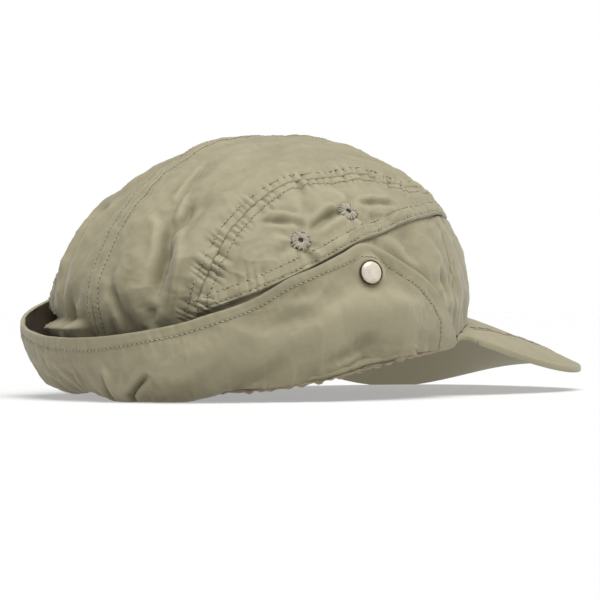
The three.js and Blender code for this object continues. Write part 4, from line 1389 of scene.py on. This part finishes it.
def snap(label, side):
    """Ring snap cap: a brass ring rolled round a pearl dome."""
    seat, way = snap_seat(side)
    r, h = SNAP_RADIUS, SNAP_HEIGHT
    roll = np.linspace(-0.5, np.pi * 1.15, 14)[2:]
    ring = [(0, 0), (r * 0.9, -0.35), (r * 0.97, 0.0)]
    ring += [(r - ROLL_RADIUS * (1 - np.cos(t)), ROLL_HEIGHT * (1 + np.sin(t))) for t in roll]
    dome_r = r - DOME_INSET
    arc = np.linspace(0, np.pi / 2, 20)[:-1]
    dome = [(dome_r * np.cos(t), lerp(DOME_FOOT, h, np.sin(t))) for t in arc]
    profile = ring + [(dome_r, 0.5)] + dome + [(0, h)]
    points, faces = lathe(profile, 56)
    which = (np.arange(len(faces)) % (len(profile) - 1) >= len(ring)).astype(int)
    piece(f"snap_{label}_cap", stood(points, seat + way * SEAT_LIFT, way), faces, [BRASS, PEARL],
          f"snap_cap_{label}", which=which, welded=True)


def eyelet(label, side, name):
    """Sewn eyelet: a cord ring under a round of satin stitches from the hole outwards.

    Stitch k is a tube over the ring: radius from 1.2 mm in the hole to 4.7 mm outside,
    height an arch, with its length, side and height varied by seeded amounts.
    """
    here = chart(*np.array(EYELETS[name]))

    def place(deg, ring):
        lift = hem_lift(chart(np.array(float(deg)), np.array(float(ring))))
        return surface(deg, ring, lift) * [1, side, 1]
    way = facing(place, *EYELETS[name], 2, 0.02)
    seat = crown(here[None], hem_lift(here[None]), PANELS["side_panel"][2], side)[0][0]
    turn = np.linspace(0, 2 * np.pi, 13)[:-1]
    cord = CORD_MIDDLE + vectors(np.cos(turn), np.sin(turn)) * CORD_HALF
    rng = np.random.default_rng(500 + 10 * (name == "rear") + (side < 0))
    varied = (EYELET_STITCHES, 1)
    f = np.linspace(0, 1, 9)
    length = rng.uniform(-0.45, 0.25, varied)
    radius = EYELET_HOLE - 0.05 + (EYELET_RADIUS + 0.2 - EYELET_HOLE + length) * f ** 1.05
    height = -0.45 + 1.6 * np.sin(np.pi * np.clip(0.16 + 0.79 * f, 0, 1)) ** 0.6 - 0.45 * f
    height = height + rng.uniform(-0.12, 0.12, varied)
    angle = np.arange(EYELET_STITCHES)[:, None] + rng.uniform(-0.3, 0.3, varied)
    angle = angle * 2 * np.pi / EYELET_STITCHES + rng.uniform(-0.05, 0.05, varied) * f
    middle = vectors(radius * np.cos(angle), radius * np.sin(angle), height)
    ahead = unit(np.gradient(middle, axis=1))
    across = unit(np.cross(ahead, [0, 0, 1.0]))
    satin = tubes(middle, across, np.cross(across, ahead), 0.19 + 0.17 * f)
    # A disc of painted shade in the hole; the cord ring, seen between the stitches, is painted shade
    # too
    hole = EYELET_HOLE + 0.35
    hole = lathe([(0, -0.2), (hole, -0.2), (hole, 0.12), (0, 0.12)], 24)
    points, faces, which = joined([(*lathe(cord, 48, closed=True), 1), (*satin, 0), (*hole, 1)])
    piece(f"eyelet_{label}_{name}_stitches", stood(points, seat + way * SEAT_LIFT, way), faces,
          [EYELET_THREAD, PAINTED_SHADE], f"eyelet_{label}_{name}", which=which,
          welded=True)


for label, side in (("left", 1), ("right", -1)):
    snap(label, side)
    for name in EYELETS:
        eyelet(label, side, name)


# Stage

KEY_POWER, KEY_SPREAD_DEG = 4.1, 50
KEY_PLACE = (-0.11, -0.32, 1.05)
FILL_POWER, FILL_SIZE = 1.1, 0.6
FILL_PLACE = (0.35, -1.1, 0.12)
LAMP_AIM_HEIGHT = 0.05
FLOOR_HALF, FLOOR_TONE, FLOOR_GLOW = 6.0, 0.46, 0.35
# Sky by the height of the view: white up to the first, grey from the second
SKY = ((0.122, (1, 1, 1, 1)), (0.15, (0.16, 0.16, 0.16, 1)))


def stage():
    """Pale floor that glows a little, a sky white below and grey above, a sun and a low lamp."""
    material, tree, main = shader(
        "lit_studio_floor", Base_Color=(FLOOR_TONE, FLOOR_TONE, FLOOR_TONE, 1), Roughness=0.9,
        Emission_Color=(1, 1, 1, 1), Emission_Strength=FLOOR_GLOW)
    bump(tree, main, noise(tree, 3.0, 2.0), 0.02, 1.0)
    mesh = bpy.data.meshes.new("floor")
    corners = [(x * FLOOR_HALF, y * FLOOR_HALF, 0) for x, y in ((-1, -1), (1, -1), (1, 1), (-1, 1))]
    mesh.from_pydata(corners, [], [(0, 1, 2, 3)])
    mesh.materials.append(material)
    in_scene("floor", mesh)
    world = bpy.data.worlds.new("studio")
    world.use_nodes = True
    bpy.context.scene.world = world
    tree = world.node_tree
    way = node(tree, "TexCoord").outputs["Generated"]
    up = node(tree, "SeparateXYZ", {"Vector": way}).outputs["Z"]
    ramped(tree, up, SKY, tree.nodes["Background"].inputs["Color"])
    key = bpy.data.lights.new("key", "SUN")
    key.energy, key.angle = KEY_POWER, np.radians(KEY_SPREAD_DEG)
    fill = bpy.data.lights.new("fill", "AREA")
    fill.energy, fill.size = FILL_POWER, FILL_SIZE
    for lamp, (x, y, z) in ((key, KEY_PLACE), (fill, FILL_PLACE)):
        obj = in_scene(lamp.name, lamp)
        obj.location = x, y, z
        tilt = np.arctan2(np.hypot(x, y), z - LAMP_AIM_HEIGHT)
        obj.rotation_euler = tilt, 0, np.arctan2(x, -y)


stage()
bpy.context.scene.view_settings.view_transform = "Standard"

# Camera: level, behind and to the wearer's right, as far off as the photograph's
CAMERA_TURN = np.radians(43.0)
CAMERA_AWAY = 1200.0
CAMERA_ASIDE = 16.9
CAMERA_HEIGHT = 44.0
PIXELS_PER_MM = 2.157
PICTURE_PIXELS = 600
SENSOR_WIDTH = 36.0
view = np.array([np.sin(CAMERA_TURN), np.cos(CAMERA_TURN), 0])
aside = np.array([np.cos(CAMERA_TURN), -np.sin(CAMERA_TURN), 0])
lens = bpy.data.cameras.new("camera")
lens.sensor_width = SENSOR_WIDTH
lens.lens = PIXELS_PER_MM * CAMERA_AWAY / PICTURE_PIXELS * SENSOR_WIDTH
camera = in_scene("camera", lens)
camera.location = (aside * CAMERA_ASIDE - view * CAMERA_AWAY + [-SHIFT, 0, CAMERA_HEIGHT]) / 1000
camera.rotation_euler = (np.pi / 2, 0, -CAMERA_TURN)
bpy.context.scene.camera = camera
